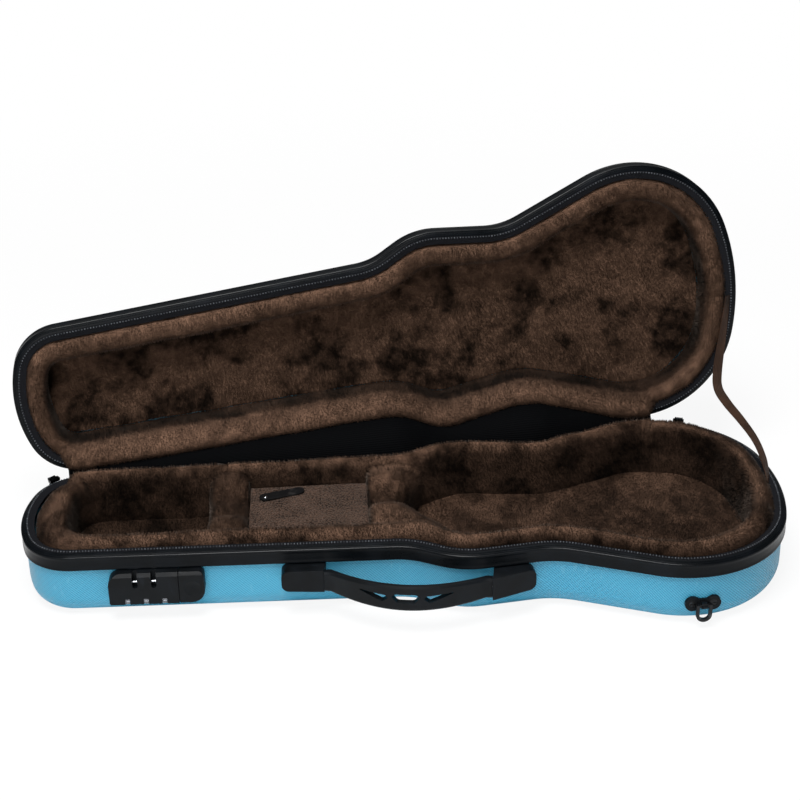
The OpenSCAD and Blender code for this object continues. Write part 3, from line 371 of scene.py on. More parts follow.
# From the hinge line the cloth goes on a quarter of the head corner's arc and a ninth of the lower bout's.
HINGE_ENDS = [(1, HINGE_TURN + (turns(ROUNDS)[1] - HINGE_TURN) / 4),
              (5, HINGE_TURN + (turns(ROUNDS)[6] - HINGE_TURN) / 9)]
gusset_head, gusset_tail = (on_round(ROUNDS[i], t, GUSSET_INSET)[0] for i, t in HINGE_ENDS)
line = np.array([p for p in half(ROUNDS, GUSSET_INSET) if gusset_head < p[0] < gusset_tail])
from_hinge = lift(line, HINGE[2]) - HINGE
reach = -from_hinge @ OUT
web = [lift(line, MOUTH - d) for d in GUSSET_GLUED]
for share in WEB_SHARES:
    r = reach * (1.0 - GUSSET_SAG * math.sin(math.pi * share))
    a = OPEN * share
    swung = (-r * math.cos(a))[:, None] * OUT + (r * math.sin(a))[:, None] * UP
    web.append(HINGE + (from_hinge @ ALONG)[:, None] * ALONG + swung)
web += [opened(lift(line, LID_MOUTH + d)) for d in GUSSET_GLUED[::-1]]
web = np.array(web)
gusset = thick("gusset", web, GUSSET_T, gusset_cloth)
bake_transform(gusset)
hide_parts("hinge_gusset")

# The stay ribbon: 10 mm brown grosgrain that keeps the lid from falling back, glued under both plush
# borders at the tail. It hangs slack in a bend with the lid open.
RIBBON_W, RIBBON_T, RIBBON_POINTS = 10.0, 0.7, 65
RIBBON_ROUTE = [(344.5, 160, 200), (339.2, 151, 156), (335, 143, 123), (334.7, 134, 106.6),
                (341.2, 118, 97.2), (350.4, 92, 91), (357.3, 62, 86.4), (359.7, 34, 81.4),
                (359, 7, 73.7), (360.4, 5, 64)]
RIBBON_LEAN = ((0, 0.2, 0.4, 0.6, 0.8, 0.95), (45, 5, 0, 12, 25, 66))
RIBBON_CUP = (0.0, 0.35, 0.5, 0.35, 0.0)
RIBBON_FACING = np.array((0.15, -0.80, 0.58))
RIBBON_FOLD = -8


def grosgrain(w):
    along, over = run_of(w)
    rib = wave(over, 0.0016)
    # Painted shade: the first 10 mm, tucked under the lid's border, is darker, and the rest is lighter.
    out_of_lid_shade = along.ramp(0.009, 0.010)
    soil = grain(w, 45.0).ramp(0.35, 0.7)
    light = soil * 0.5 + rib.ramp(-1.0, 1.0, 0.0, 0.35) + out_of_lid_shade * 0.25
    return {"Base Color": light.mix(tone("1a1009"), tone("3f2b1f")), "Roughness": rib * 0.08 + 0.6,
            "Normal": bump(w, rib, 0.0002)}


def spline(points, count):
    """A smooth line through the points."""
    p = np.array(points, float)
    p = np.vstack((2 * p[0] - p[1], p, 2 * p[-1] - p[-2]))
    t = np.linspace(0, len(p) - 3 - 1e-6, count)
    i, f = t.astype(int), (t - t.astype(int))[:, None]
    a, b, c, d = p[i], p[i + 1], p[i + 2], p[i + 3]
    square, cube = 2 * a - 5 * b + 4 * c - d, 3 * b - a - 3 * c + d
    return 0.5 * (2 * b + (c - a) * f + square * f ** 2 + cube * f ** 3)


def unit(vectors):
    return vectors / np.linalg.norm(vectors, axis=1)[:, None]


ribbon_cloth = paint("ribbon_cloth", {"Specular IOR Level": 0.15}, grosgrain)
path = spline(RIBBON_ROUTE, RIBBON_POINTS)
way = unit(np.gradient(path, axis=0))
side = unit(np.cross(way, RIBBON_FACING))
face = np.cross(side, way)
lean = np.radians(np.interp(np.linspace(0, 1, RIBBON_POINTS), *RIBBON_LEAN))[:, None]
side = side * np.cos(lean) + face * np.sin(lean)
across = np.linspace(-RIBBON_W / 2, RIBBON_W / 2, len(RIBBON_CUP))
rows = [path + side * w + face * c for w, c in zip(across, RIBBON_CUP)]
ribbon = thick("ribbon", rows, RIBBON_T, ribbon_cloth)
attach(ribbon, "base")
(path[0] - path[RIBBON_FOLD]) / 1000
path[RIBBON_FOLD] / 1000
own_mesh(ribbon)
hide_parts("lid_strap")

# The two shells: moulded ABS in turquoise, 2.4 mm, pressed with a fine slanting hatch outside.
# The base is a bowl with a rounded floor edge, and the lid a shallow dome.
WALL = 2.4
SHELL_OUT = 3.1
SHELL_IN = SHELL_OUT + WALL
SHELL_LIP = 6.1
BASE_FILLET = 22.0
DOME_REACH, DOME_START, DOME_RISE = 34.0, 19.0, 33.0


def woven(name, rings, material, wrap_rows=False, wrap_cols=False, ends="", sharp=40.0):
    """A surface through rows of points; a flat face closes the first row (f) or the last (l) in ends."""
    rings = np.asarray(rings, float)
    rows, cols = rings.shape[:2]
    middle, first = rings[rows // 2], rings[:, 0]
    along = np.append(0, np.cumsum(np.linalg.norm(np.roll(middle, -1, 0) - middle, axis=1)))
    over = np.append(0, np.cumsum(np.linalg.norm(np.roll(first, -1, 0) - first, axis=1)))
    faces, uv = [], []
    for r in range(rows if wrap_rows else rows - 1):
        for c in range(cols if wrap_cols else cols - 1):
            r2, c2 = (r + 1) % rows, (c + 1) % cols
            faces.append((r * cols + c, r * cols + c2, r2 * cols + c2, r2 * cols + c))
            uv += [(along[c + i], over[r + j]) for i, j in ((0, 0), (1, 0), (1, 1), (0, 1))]
    points = rings.reshape(-1, 3)
    for end in ends:
        start = 0 if end == "f" else (rows - 1) * cols
        for i in range(HALF - 1):
            strip = (i, i + 1, (cols - i - 1) % cols, (cols - i) % cols)
            strip = [start + k for k in dict.fromkeys(strip)]
            faces.append(strip[::-1] if end == "f" else strip)
            uv += [(p[0], p[1]) for p in points[faces[-1]]]
    return piece(name, points, faces, material, uv, sharp)


def seat(made, body, slot, *nodes):
    """Puts a finished piece on its body, in place of the CAD nodes that it stands for."""
    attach(made, body)
    if nodes:
        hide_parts(*nodes)


def hatched(w):
    along, over = run_of(w)
    relief = wave(along + over, 0.0029) * (wave(along - over, 0.0061) * 0.35 + 0.65)
    cloud = grain(w, 9.0, 3.0)
    scuff = grain(w, 220.0, 2.0, (1.0, 1.0, 0.25)).ramp(0.62, 0.75)
    # Painted shade: depth darkens the hatch's grooves, with a faint cloud of random tone on top.
    depth = relief.ramp(-1.0, 0.6, 1.0, 0.0) * 0.9 + cloud.ramp(0.35, 0.7) * 0.15
    turquoise = depth.mix(tone("439ebb"), tone("236e91"))
    return {"Base Color": (scuff * 0.12).mix(turquoise, tone("8cc4d6")),
            "Roughness": cloud * 0.15 + scuff * 0.1 + 0.36,
            "Normal": bump(w, relief + scuff * 0.3, 0.0001, 0.8)}


def bowl(inset, z, r, angles):
    """Profile points (inset, height) of a rounded floor edge."""
    return [(inset + r * (1 - math.sin(t)), z + r * (1 - math.cos(t))) for t in angles]


def dome(inset, reach, rise, angles):
    """Profile points (inset, height over the mouth) of the lid's curve."""
    return [(inset + reach * (1 - math.cos(t)), DOME_START + rise * math.sin(t)) for t in angles]


shell_skin = paint("shell_skin", {"Specular IOR Level": 0.45}, hatched)
bend = np.radians(np.linspace(0.0, 90.0, 15))
lip = MOUTH - SHELL_LIP
profile = bowl(SHELL_OUT, 0.0, BASE_FILLET, bend) + [(SHELL_OUT, z) for z in (32.0, 44.0, 56.0, lip)]
profile += [(SHELL_IN, lip)] + bowl(SHELL_IN, WALL, BASE_FILLET - WALL, bend[::-2])
base_shell = woven("base_skin", [lift(outline(d), z) for d, z in profile], shell_skin,
                   wrap_cols=True, ends="fl")
seat(base_shell, "base", "shell", "base_shell")
rise = np.radians(np.linspace(0.0, 90.0, 19))
profile = dome(SHELL_IN, DOME_REACH - WALL, DOME_RISE - WALL, rise[::-2])
profile += [(SHELL_IN, SHELL_LIP), (SHELL_OUT, SHELL_LIP)] + dome(SHELL_OUT, DOME_REACH, DOME_RISE, rise)
lid_shell = woven("lid_skin", [opened(lift(outline(d), LID_MOUTH + z)) for d, z in profile], shell_skin,
                  wrap_cols=True, ends="fl")
seat(lid_shell, "lid", "shell", "lid_shell")

# The rims: black extruded PVC hooked over the shells' edges, a flat band with a raised bead and a sloping
# upper face with two fine lines; satin, with light rub marks along the bead.
RIM_SECTION = [(0.6, -19.0), (0.05, -18.4), (0.0, -17.2), (0.25, -16.6), (0.4, -14.0), (0.45, -11.5),
               (0.4, -9.0), (0.25, -7.0), (0.0, -6.3), (0.0, -5.3), (0.25, -4.6), (0.8, -4.2), (1.0, -4.6),
               (1.3, -4.55), (1.5, -3.85), (2.6, -3.3), (2.75, -3.6), (3.0, -3.55), (3.15, -3.0),
               (4.6, -2.35), (5.2, -2.3), (5.4, -2.6), (5.4, -6.0), (3.0, -6.0), (3.0, -19.0)]
RIM_SHARP = 30.0


def satin_black(w):
    mark = grain(w, 35.0, 4.0).ramp(0.4, 0.75)
    fine = grain(w, 900.0, 2.0)
    return {"Base Color": (mark * 0.5 + fine * 0.25).mix(tone("040608"), tone("0e1217")),
            "Roughness": mark * 0.1 + fine * 0.1 + 0.24, "Normal": bump(w, fine, 0.00006, 0.4)}


rim_skin = paint("rim_skin", {"Specular IOR Level": 0.1}, satin_black)
base_rim = woven("base_edge", [lift(outline(d), MOUTH + z) for d, z in RIM_SECTION], rim_skin, True, True,
                 sharp=RIM_SHARP)
seat(base_rim, "base", "rim", "base_rim")
lid_rim = woven("lid_edge", [opened(lift(outline(d), LID_MOUTH - z)) for d, z in RIM_SECTION[::-1]], rim_skin,
                True, True, sharp=RIM_SHARP)
seat(lid_rim, "lid", "rim", "lid_rim")

# The zip: black woven tape sewn inside each rim, with a row of moulded teeth along its free edge.
# It runs round the front and both ends, from one end of the hinge gusset to the other.
TAPE_SECTION = [(5.6, -14.0), (5.6, -1.6), (5.9, -1.2), (6.6, -1.3), (9.5, -2.0), (13.0, -3.2), (13.0, -3.8),
                (9.4, -2.6), (6.6, -2.2), (6.6, -14.0)]
TEETH_INSET, TEETH_DROP = 6.4, 1.0
TEETH_PITCH, TOOTH_BULK = 0.0029, (0.0007, 0.0009, 0.0009)


def tape_weave(w):
    along, over = run_of(w)
    weave = wave(along, 0.0012) * wave(over, 0.0009)
    return {"Base Color": weave.ramp(-1.0, 1.0).mix(tone("0a0a0c"), tone("1f2024")),
            "Normal": bump(w, weave, 0.00015)}


def tooth_painted_glint(w):
    # Painted highlight: the black teeth are coloured grey for the glints along the row, in two greys that rub
    # mixes.
    rub = grain(w, 300.0).ramp(0.4, 0.7)
    return {"Base Color": rub.mix(tone("33363a"), tone("5a5e63")), "Roughness": rub * 0.15 + 0.45}


def tree_of(name, sockets):
    """A geometry node tree with a mesh in and out and the named inputs, as (tree, wires of the inputs)."""
    tree = bpy.data.node_groups.new(name, "GeometryNodeTree")
    tree.interface.new_socket("Mesh", in_out="INPUT", socket_type="NodeSocketGeometry")
    for label, kind in sockets:
        tree.interface.new_socket(label, in_out="INPUT", socket_type="NodeSocket" + kind)
    tree.interface.new_socket("Mesh", in_out="OUTPUT", socket_type="NodeSocketGeometry")
    start = Wire(tree).node("NodeGroupInput")
    return tree, [start.also(i) for i in range(len(sockets) + 1)]


def close_tree(copies, material):
    """Ends a tree: the copies become plain geometry with their material."""
    solid = copies.node("GeometryNodeRealizeInstances", (), {0: copies})
    solid = solid.node("GeometryNodeSetMaterial", (), {0: solid, "Material": material})
    copies.tree.links.new(solid.socket, copies.tree.nodes.new("NodeGroupOutput").inputs[0])


def settled(name, carrier):
    """A plain mesh object of what a carrier's modifiers make; the carrier goes."""
    view = bpy.context.evaluated_depsgraph_get()
    shape = carrier.evaluated_get(view)
    mesh = bpy.data.meshes.new_from_object(shape, preserve_all_data_layers=True, depsgraph=view)
    bpy.data.objects.remove(carrier)
    mesh.name = name
    made = bpy.data.objects.new(name, mesh)
    scene.collection.objects.link(made)
    return made


def carried(name, mesh):
    carrier = bpy.data.objects.new(name + "_carrier", mesh)
    scene.collection.objects.link(carrier)
    return carrier


def run_tree(tree, name, source, values):
    """What the tree makes from a mesh, with its inputs set by the sockets' own keys."""
    carrier = carried(name, source)
    nodes = carrier.modifiers.new("nodes", "NODES")
    nodes.node_group = tree
    keys = {s.name: s.identifier for s in tree.interface.items_tree if s.in_out == "INPUT"}
    for label, value in values.items():
        nodes[keys[label]] = value
    return settled(name, carrier)


teeth, (rail_in, pitch_in, bulk_in, tooth_paint) = tree_of(
    "teeth", (("Pitch", "Float"), ("Bulk", "Vector"), ("Material", "Material")))
thread = rail_in.node("GeometryNodeMeshToCurve", (), {0: rail_in})
thread = thread.node("GeometryNodeResampleCurve", {"mode": "LENGTH"}, {"Curve": thread, "Length": pitch_in})
bead = thread.node("GeometryNodeMeshIcoSphere", (), {"Radius": 1.0, "Subdivisions": 1})
tangent = thread.node("GeometryNodeInputTangent")
heading = thread.node("FunctionNodeAlignRotationToVector", {"axis": "X"}, {"Vector": tangent})
row = thread.node("GeometryNodeInstanceOnPoints", (),
                  {"Points": thread, "Instance": bead, "Rotation": heading, "Scale": bulk_in})
close_tree(row, tooth_paint)

tape_cloth = paint("tape_cloth", {"Roughness": 0.8, "Specular IOR Level": 0.06}, tape_weave)
tooth_nylon = paint("tooth_nylon", {"Specular IOR Level": 0.15}, tooth_painted_glint)
zip_head, zip_tail = (on_round(ROUNDS[i], t, 0.0)[0] for i, t in HINGE_ENDS)


def zip_line(d):
    """The outline's points where the zip is, from the hinge's head end round the front to its tail end."""
    loop, keep = outline(d), outline(0.0)
    back = range(HALF, len(loop))
    order = [i for i in back if keep[i, 0] <= zip_head] + list(range(HALF))
    return loop[order + [i for i in back if keep[i, 0] >= zip_tail]]


def as_is(points):
    return points


for name, body, node, level, sense, place in (("base_tape", "base", "base_zip", MOUTH, 1, as_is),
                                              ("lid_tape", "lid", "lid_zip", LID_MOUTH, -1, opened)):
    rows = [place(lift(zip_line(d), level + sense * z)) for d, z in TAPE_SECTION[::sense]]
    seat(woven(name, rows, tape_cloth, wrap_rows=True), body, "zip", node)
    edge = place(lift(zip_line(TEETH_INSET), level - sense * TEETH_DROP)) / 1000.0
    rail = bpy.data.meshes.new(name + "_rail")
    rail.from_pydata(edge.tolist(), [(i, i + 1) for i in range(len(edge) - 1)], [])
    row = run_tree(teeth, name + "_teeth", rail,
                   {"Pitch": TEETH_PITCH, "Bulk": TOOTH_BULK, "Material": tooth_nylon})
    seat(row, body, "zip")

# The plush lining: foam borders, blocks and boards wrapped in dark brown pile cloth and glued in.
# The cloth is a soft uneven skin, and its short pile is grown on it in combed patches.
LINING_INSET = 7.6
CHANNEL_HALF, CHANNEL_SHIFT = 49.0, 7.0
POCKET_END, HOLLOW_END = 46.0, 34.0
HOLLOW_END_R, HOLLOW_CORNER_R, SHOULDER_R = 200.0, 28.0, 14.0
HOLLOW_UPPER, HOLLOW_WAIST, HOLLOW_LOWER = 80.0, 72.0, 108.0
HOLLOW_UPPER_R, HOLLOW_WAIST_R, HOLLOW_LOWER_R = 52.0, 75.0, 80.0
SHOULDER_X, HOLLOW_UPPER_X, HOLLOW_WAIST_X = 8.0, UPPER_X + 12.0, WAIST_X + 4.0
BORDER_ROWS = 44
BASE_ROLL = [(0.2, 24), (0.2, 56), (0.2, 66), (0.26, 72.5), (0.44, 78.5), (0.68, 81), (0.86, 78), (0.95, 67),
             (0.97, 40), (0.97, 5)]
BASE_HINGE_ROLL = [(0.0, 24), (0.0, 56), (-0.02, 70), (0.0, 76), (0.14, 78.4), (0.34, 75.5), (0.56, 69),
                   (0.76, 58), (0.93, 36), (0.97, 5)]
LID_ROLL = [(0.97, 112.6), (0.97, 104), (0.965, 91), (0.92, 80.5), (0.74, 76), (0.48, 75), (0.3, 76.6),
            (0.22, 81), (0.2, 86), (0.2, 94)]
LID_HINGE_ROLL = [(0.97, 112.6), (0.97, 104), (0.96, 90), (0.9, 78), (0.7, 69.5), (0.4, 65), (0.05, 64.5),
                  (-0.18, 68), (-0.16, 73), (0.0, 79)]
ROLL_Z, ROLL_H = 60.0, 20.0
NECK_DROP, NECK_FADE = 7.0, 90.0
LID_IN, LID_SHIFT = 31.6, (0.0, 5.0)
HINGE_FADE, PILE_SPLIT_X = 12.0, 10.0
LUMPS, FINE_LUMPS, FINE_SHARE = 28.0, 90.0, 0.4
HAIR_LONG, HAIR_WIDE, HAIR_LEAN = 0.0028, 0.00045, 1.5


def plush_colour(w):
    own, tip, crown, calm = (w.node("ShaderNodeAttribute", {"attribute_name": name}, out="Fac")
                             for name in ("shade", "tip", "crown", "calm"))
    # Painted light and shade: patch paints the dark blotches and streak the light streaks that crushed pile
    # shows as it catches the light unevenly.
    patch = grain(w, 24.0, 5.0).ramp(0.38, 0.57).maths("MAXIMUM", calm)
    streak = grain(w, 110.0, 3.0, (1.0, 0.5, 1.0)).ramp(0.35, 0.68)
    # Painted shade: tip darkens each hair toward its root, as shade down in the pile, and crown paints light
    # on the crests and shade on walls and hollows.
    lit = (patch * 0.6 + streak * 0.33 + own * 0.07) * (crown * 0.7 + 0.3) * (tip * 0.3 + 0.7)
    return lit.mix(tone("0c0704"), tone("6f5545"))


def plush_skin(w):
    return {"Base Color": plush_colour(w), "Normal": bump(w, grain(w, 700.0, 2.0), 0.0006)}


def plush_hair(w):
    lie = w.node("ShaderNodeAttribute", {"attribute_name": "lie"}, out="Vector")
    lie = w.node("ShaderNodeVectorTransform",
                 {"vector_type": "NORMAL", "convert_from": "OBJECT", "convert_to": "WORLD"}, {0: lie})
    return {"Base Color": plush_colour(w), "Normal": lie}


PLUSH = {"Roughness": 0.9, "Specular IOR Level": 0.05, "Sheen Weight": 0.1, "Sheen Roughness": 0.4,
         "Sheen Tint": (0.8, 0.65, 0.55, 1.0)}
plush, hair = paint("plush", PLUSH, plush_skin), paint("plush_pile", PLUSH, plush_hair)

pile, (skin_in, dense_in, long_in, wide_in, lean_in, seed_in, pile_paint) = tree_of(
    "pile", (("Density", "Float"), ("Length", "Float"), ("Width", "Float"), ("Lean", "Float"),
             ("Seed", "Int"), ("Material", "Material")))


def vectors(operation, *inputs):
    return skin_in.node("ShaderNodeVectorMath", {"operation": operation}, enumerate(inputs))


def stored(geometry, kind, domain, name, value):
    return geometry.node("GeometryNodeStoreNamedAttribute", {"data_type": kind, "domain": domain},
                         {"Geometry": geometry, "Name": name, "Value": value})


def chance(low, high):
    return skin_in.node("FunctionNodeRandomValue", {"data_type": "FLOAT"},
                        {2: low, 3: high, "Seed": seed_in}, 1)


where = skin_in.node("GeometryNodeInputNamedAttribute", {"data_type": "FLOAT"}, {"Name": "pile"})
roots = skin_in.node("GeometryNodeDistributePointsOnFaces", (),
                     {"Mesh": skin_in, "Density": where * dense_in, "Seed": seed_in})
blade = roots.node("GeometryNodeMeshCone", {"fill_type": "NONE"},
                   {"Vertices": 3, "Radius Bottom": wide_in, "Depth": long_in})
# tip runs from 0 at a hair's root to 1 at its end; the shader uses it to paint shade toward the root.
height = blade.node("ShaderNodeSeparateXYZ", (), {0: blade.node("GeometryNodeInputPosition")}, 2)
blade = stored(blade, "FLOAT", "POINT", "tip", height.maths("DIVIDE", long_in))
nap = roots.node("ShaderNodeTexNoise", (), {"Scale": 30.0, "Detail": 2.0, "Distortion": 0.6}, "Color")
nap = vectors("SUBTRACT", nap, (0.5, 0.5, 0.5))
nap = nap.node("ShaderNodeVectorMath", {"operation": "SCALE"}, {0: nap, "Scale": lean_in})
lie = vectors("NORMALIZE", vectors("MULTIPLY_ADD", nap, (0.6, 0.6, 0.6), roots.also("Normal")))
stray = nap.node("FunctionNodeRandomValue", {"data_type": "FLOAT_VECTOR"},
                 {0: (-0.22, -0.22, -0.22), 1: (0.22, 0.22, 0.22), "Seed": seed_in})
upright = nap.node("FunctionNodeAlignRotationToVector", {"axis": "Z"}, {"Vector": vectors("ADD", lie, stray)})
hairs = roots.node("GeometryNodeInstanceOnPoints", (),
                   {"Points": roots, "Instance": blade, "Rotation": upright, "Scale": chance(0.6, 1.15)})
hairs = stored(hairs, "FLOAT", "INSTANCE", "shade", chance(0.0, 1.0))
close_tree(stored(hairs, "FLOAT_VECTOR", "INSTANCE", "lie", lie), pile_paint)


def normals_of(mesh):
    normal = np.empty(len(mesh.vertices) * 3, np.float32)
    mesh.vertex_normals.foreach_get("vector", normal)
    return normal.reshape(-1, 3)


def rumple(skin, amount, seed):
    """Moves a skin's points along their normals by soft noise, as hand-wrapped foam lies."""
    mesh = skin.data
    place = np.empty(len(mesh.vertices) * 3, np.float32)
    mesh.vertices.foreach_get("co", place)
    place = place.reshape(-1, 3)
    broad = [noise.noise(Vector(p) * LUMPS + Vector((seed, 0, 0))) for p in place]
    fine = [noise.noise(Vector(p) * FINE_LUMPS + Vector((0, seed, 0))) for p in place]
    shift = np.array(broad) + FINE_SHARE * np.array(fine)
    place += normals_of(mesh) * (shift * amount / 1000.0)[:, None]
    mesh.vertices.foreach_set("co", place.ravel())
    mesh.update()


def field(mesh, name, value):
    """A number at each point of a mesh, which the shader or the pile reads."""
    values = np.broadcast_to(np.asarray(value, np.float32), len(mesh.vertices))
    mesh.attributes.new(name, "FLOAT", "POINT").data.foreach_set("value", values.astype(np.float32))


def grow(skin, name, body, count, cover, seed):
    """Pile on the part of a skin that cover gives, about count hairs in all."""
    mesh = skin.data.copy()
    for own in ("tip", "shade"):
        mesh.attributes.remove(mesh.attributes[own])
    field(mesh, "pile", cover)
    area = sum(f.area * float(np.mean([cover[i] for i in f.vertices])) for f in mesh.polygons)
    hairs = run_tree(pile, name, mesh, {"Density": count / area, "Length": HAIR_LONG, "Width": HAIR_WIDE,
                                        "Lean": HAIR_LEAN, "Seed": seed, "Material": hair})
    seat(hairs, body, "plush")
    return hairs


def lining(skin, body, crown, calm, *nodes):
    """A padded skin: crown is how much painted light its pile catches, and calm how few dark patches of
    painted crushed-pile shade it has.
    """
    for name, value in (("tip", 0.8), ("shade", 0.5), ("crown", crown), ("calm", calm)):
        field(skin.data, name, value)
    seat(skin, body, "plush", *nodes)


def hollow_rounds(s):
    """The rounds of the hollow, s = -1 for its front half and 1 for its hinge half."""
    shift = s * CHANNEL_SHIFT
    end = (POCKET_END + HOLLOW_END_R - TAIL_X, shift, HOLLOW_END_R)
    tail = TAIL_X - HOLLOW_END
    lower = (tail - HOLLOW_LOWER_R - TAIL_BULGE, HOLLOW_LOWER - HOLLOW_LOWER_R, HOLLOW_LOWER_R)
    return [end,
            corner_round(end, CHANNEL_HALF, HOLLOW_CORNER_R),
            (SHOULDER_X, shift + CHANNEL_HALF + SHOULDER_R, -SHOULDER_R),
            (HOLLOW_UPPER_X, HOLLOW_UPPER - HOLLOW_UPPER_R, HOLLOW_UPPER_R),
            (HOLLOW_WAIST_X, HOLLOW_WAIST + HOLLOW_WAIST_R, -HOLLOW_WAIST_R),
            lower,
            tail_round(lower, tail)]


def hollow(d):
    return belt(hollow_rounds(-1), hollow_rounds(1), d)


outer = outline(LINING_INSET)
along_hinge = np.minimum(outer[:, 0] - zip_head, zip_tail - outer[:, 0]) / HINGE_FADE + 0.5
along_hinge = np.where(np.arange(len(outer)) >= HALF, np.clip(along_hinge, 0.0, 1.0), 0.0)
at_head = outer[:, 0] < PILE_SPLIT_X


def every_row(values):
    return np.tile(values, BORDER_ROWS)


def quilted(name, inside, zip_roll, hinge_roll, neck_drop, place):
    """A padded border: one roll beside the zip, lower at the neck, that blends to a fuller one at the hinge.
    A roll's points are (share of the way in, height); the skin comes with both at each of its points."""
    a, b, h = spline(zip_roll, BORDER_ROWS), spline(hinge_roll, BORDER_ROWS), along_hinge[None, :, None]
    shape = a[:, None] * (1 - h) + b[:, None] * h
    top = np.clip((shape[..., 1] - ROLL_Z) / ROLL_H, 0.0, 1.0) * (1 - along_hinge)
    toward_head = np.clip((UPPER_X - outer[:, 0]) / NECK_FADE, 0.0, 1.0)
    shape[..., 1] -= neck_drop * top * toward_head
    rings = outer + shape[..., :1] * (inside - outer)
    skin = woven(name, place(np.dstack((rings, shape[..., 1]))), plush, True, True)
    return skin, shape[..., 0].ravel(), shape[..., 1].ravel()


border, share, level = quilted("border", hollow(0.0), BASE_ROLL, BASE_HINGE_ROLL, NECK_DROP, as_is)
rumple(border, amount=1.3, seed=3.0)
# The crest catches the most light, and the side toward the zip the least.
below_crest = every_row(level.reshape(BORDER_ROWS, -1).max(0)) - level
crown = np.clip(1.1 - below_crest / 9.0, 0.0, 1.0)
crown *= np.clip(share / 0.5 + every_row(along_hinge), 0.4, 1.0) * 0.88
lining(border, "base", crown, 0.5 * crown ** 2, "head_border", "body_border")
# No pile grows behind the zip tape, and less of it deep in the hollow.
cover = np.where((share < 0.25) & (level < 62.0), 0.0, np.where(level < 48.0, 0.6, 1.0))
soft = [border, grow(border, "border_pile_head", "base", 58000, cover * every_row(at_head), 1),
        grow(border, "border_pile_body", "base", 62000, cover * every_row(~at_head), 2)]
for made in soft:
    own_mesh(made)

lid_inner = outline(LID_IN) + LID_SHIFT
lid_border, share, level = quilted("lid_border_skin", lid_inner, LID_ROLL, LID_HINGE_ROLL, 0.0, opened)
rumple(lid_border, amount=1.3, seed=8.0)
crown = np.clip((88.0 - level) / 6.0, 0.0, 1.0)
lining(lid_border, "lid", crown, 0.7 * crown ** 2, "lid_border")
cover = np.where((share < 0.25) & (level > 80.0), 0.0, 1.0)
soft = [lid_border, grow(lid_border, "lid_border_pile_head", "lid", 52000, cover * every_row(at_head), 3),
        grow(lid_border, "lid_border_pile_body", "lid", 60000, cover * every_row(~at_head), 4)]
lid_out = opened((0.0, 0.0, -1.0)) - opened((0.0, 0.0, 0.0))
for made in soft:
    opened((0.0, 0.0, 105.0)) / 1000
    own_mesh(made)


def slab(name, plan, top, under, material, place=as_is, flip=False):
    """A pad over a grid of plan points, with its own height at each and a flat underside."""
    rows, cols = plan.shape[:2]
    upper = np.dstack((plan, np.broadcast_to(top, (rows, cols))))
    lower = np.dstack((plan, np.full((rows, cols), under)))
    points = place(np.vstack((upper.reshape(-1, 3), lower.reshape(-1, 3))))
    below, faces = rows * cols, []
    for r in range(rows - 1):
        for c in range(cols - 1):
            q = [r * cols + c, (r + 1) * cols + c, (r + 1) * cols + c + 1, r * cols + c + 1]
            faces += [q, [i + below for i in q[::-1]]]
    edge = [r * cols + c for r, c in edge_of(rows, cols)]
    faces += [[a, b, b + below, a + below] for a, b in zip(edge, edge[1:] + edge[:1])]
    made = piece(name, points, [f[::-1] for f in faces] if flip else faces, material)
    b = bmesh.new()
    b.from_mesh(made.data)
    bmesh.ops.remove_doubles(b, verts=b.verts, dist=1e-6)
    bmesh.ops.dissolve_degenerate(b, edges=b.edges, dist=1e-6)
    b.to_mesh(made.data)
    b.free()
    return made


def spread(loop, count):
    """Rows of points from the front half of a loop straight across to the back half."""
    front, back = loop[:HALF], np.vstack((loop[:1], loop[HALF:][::-1], loop[HALF - 1:HALF]))
    share = (0.5 - 0.5 * np.cos(np.linspace(0.0, math.pi, count)))[None, :, None]
    return front[:, None] + (back - front)[:, None] * share


def facing(skin, way, least=0.4):
    """1 for each point of a skin whose normal looks along way, and 0 for the others."""
    return (normals_of(skin.data) @ np.asarray(way) > least).astype(float)


FLOOR_UNDER, FLOOR_LOW, FLOOR_CURL, CURL_REACH = 3.4, 13.0, 13.0, 9.0
LID_FLOOR_TOP, LID_FLOOR_UNDER = 38.2, 41.0
FLOOR_GAP, LID_FLOOR_GAP = 0.6, 0.8
loop = hollow(FLOOR_GAP)
plan = spread(loop, 41)
gap = np.array([np.linalg.norm(row[:, None] - loop[None], axis=2).min(1) for row in plan])
board = slab("floor_pad", plan, FLOOR_LOW + FLOOR_CURL * np.exp(-gap / CURL_REACH), FLOOR_UNDER, plush)
rumple(board, amount=0.9, seed=12.0)
# The floor of the head pocket lies in the dark, so its pile catches less light.
lit = np.interp([v.co.x for v in board.data.vertices], (-0.2, -0.12), (-0.15, 0.36))
lining(board, "base", lit, lit, "base_floor")
grow(board, "floor_pile", "base", 62000, facing(board, (0, 0, 1)), 5)

plan = spread(outline(LID_IN + LID_FLOOR_GAP) + LID_SHIFT, 45)
board = slab("lid_pad", plan, LID_MOUTH + LID_FLOOR_TOP, LID_MOUTH + LID_FLOOR_UNDER, plush, opened, True)
rumple(board, amount=1.6, seed=17.0)
lining(board, "lid", 0.62, 0.0, "lid_floor")
grow(board, "lid_floor_pile", "lid", 64000, facing(board, lid_out), 6)

BLOCK_TOP, BLOCK_UNDER, BLOCK_GAP = 72.0, 10.0, 1.2
BLOCK_FRONT, BLOCK_BACK = -47.0, 66.0
DIP_FLAT = 8.0
FLARE_FRONT, FLARE_RUN, FLARE_BACK = 4.0, 49.0, 30.0
BLOCK_DARK_Z, BLOCK_FADE, PILE_FROM_Z, UPRIGHT = 0.044, 0.02, 0.014, 0.012


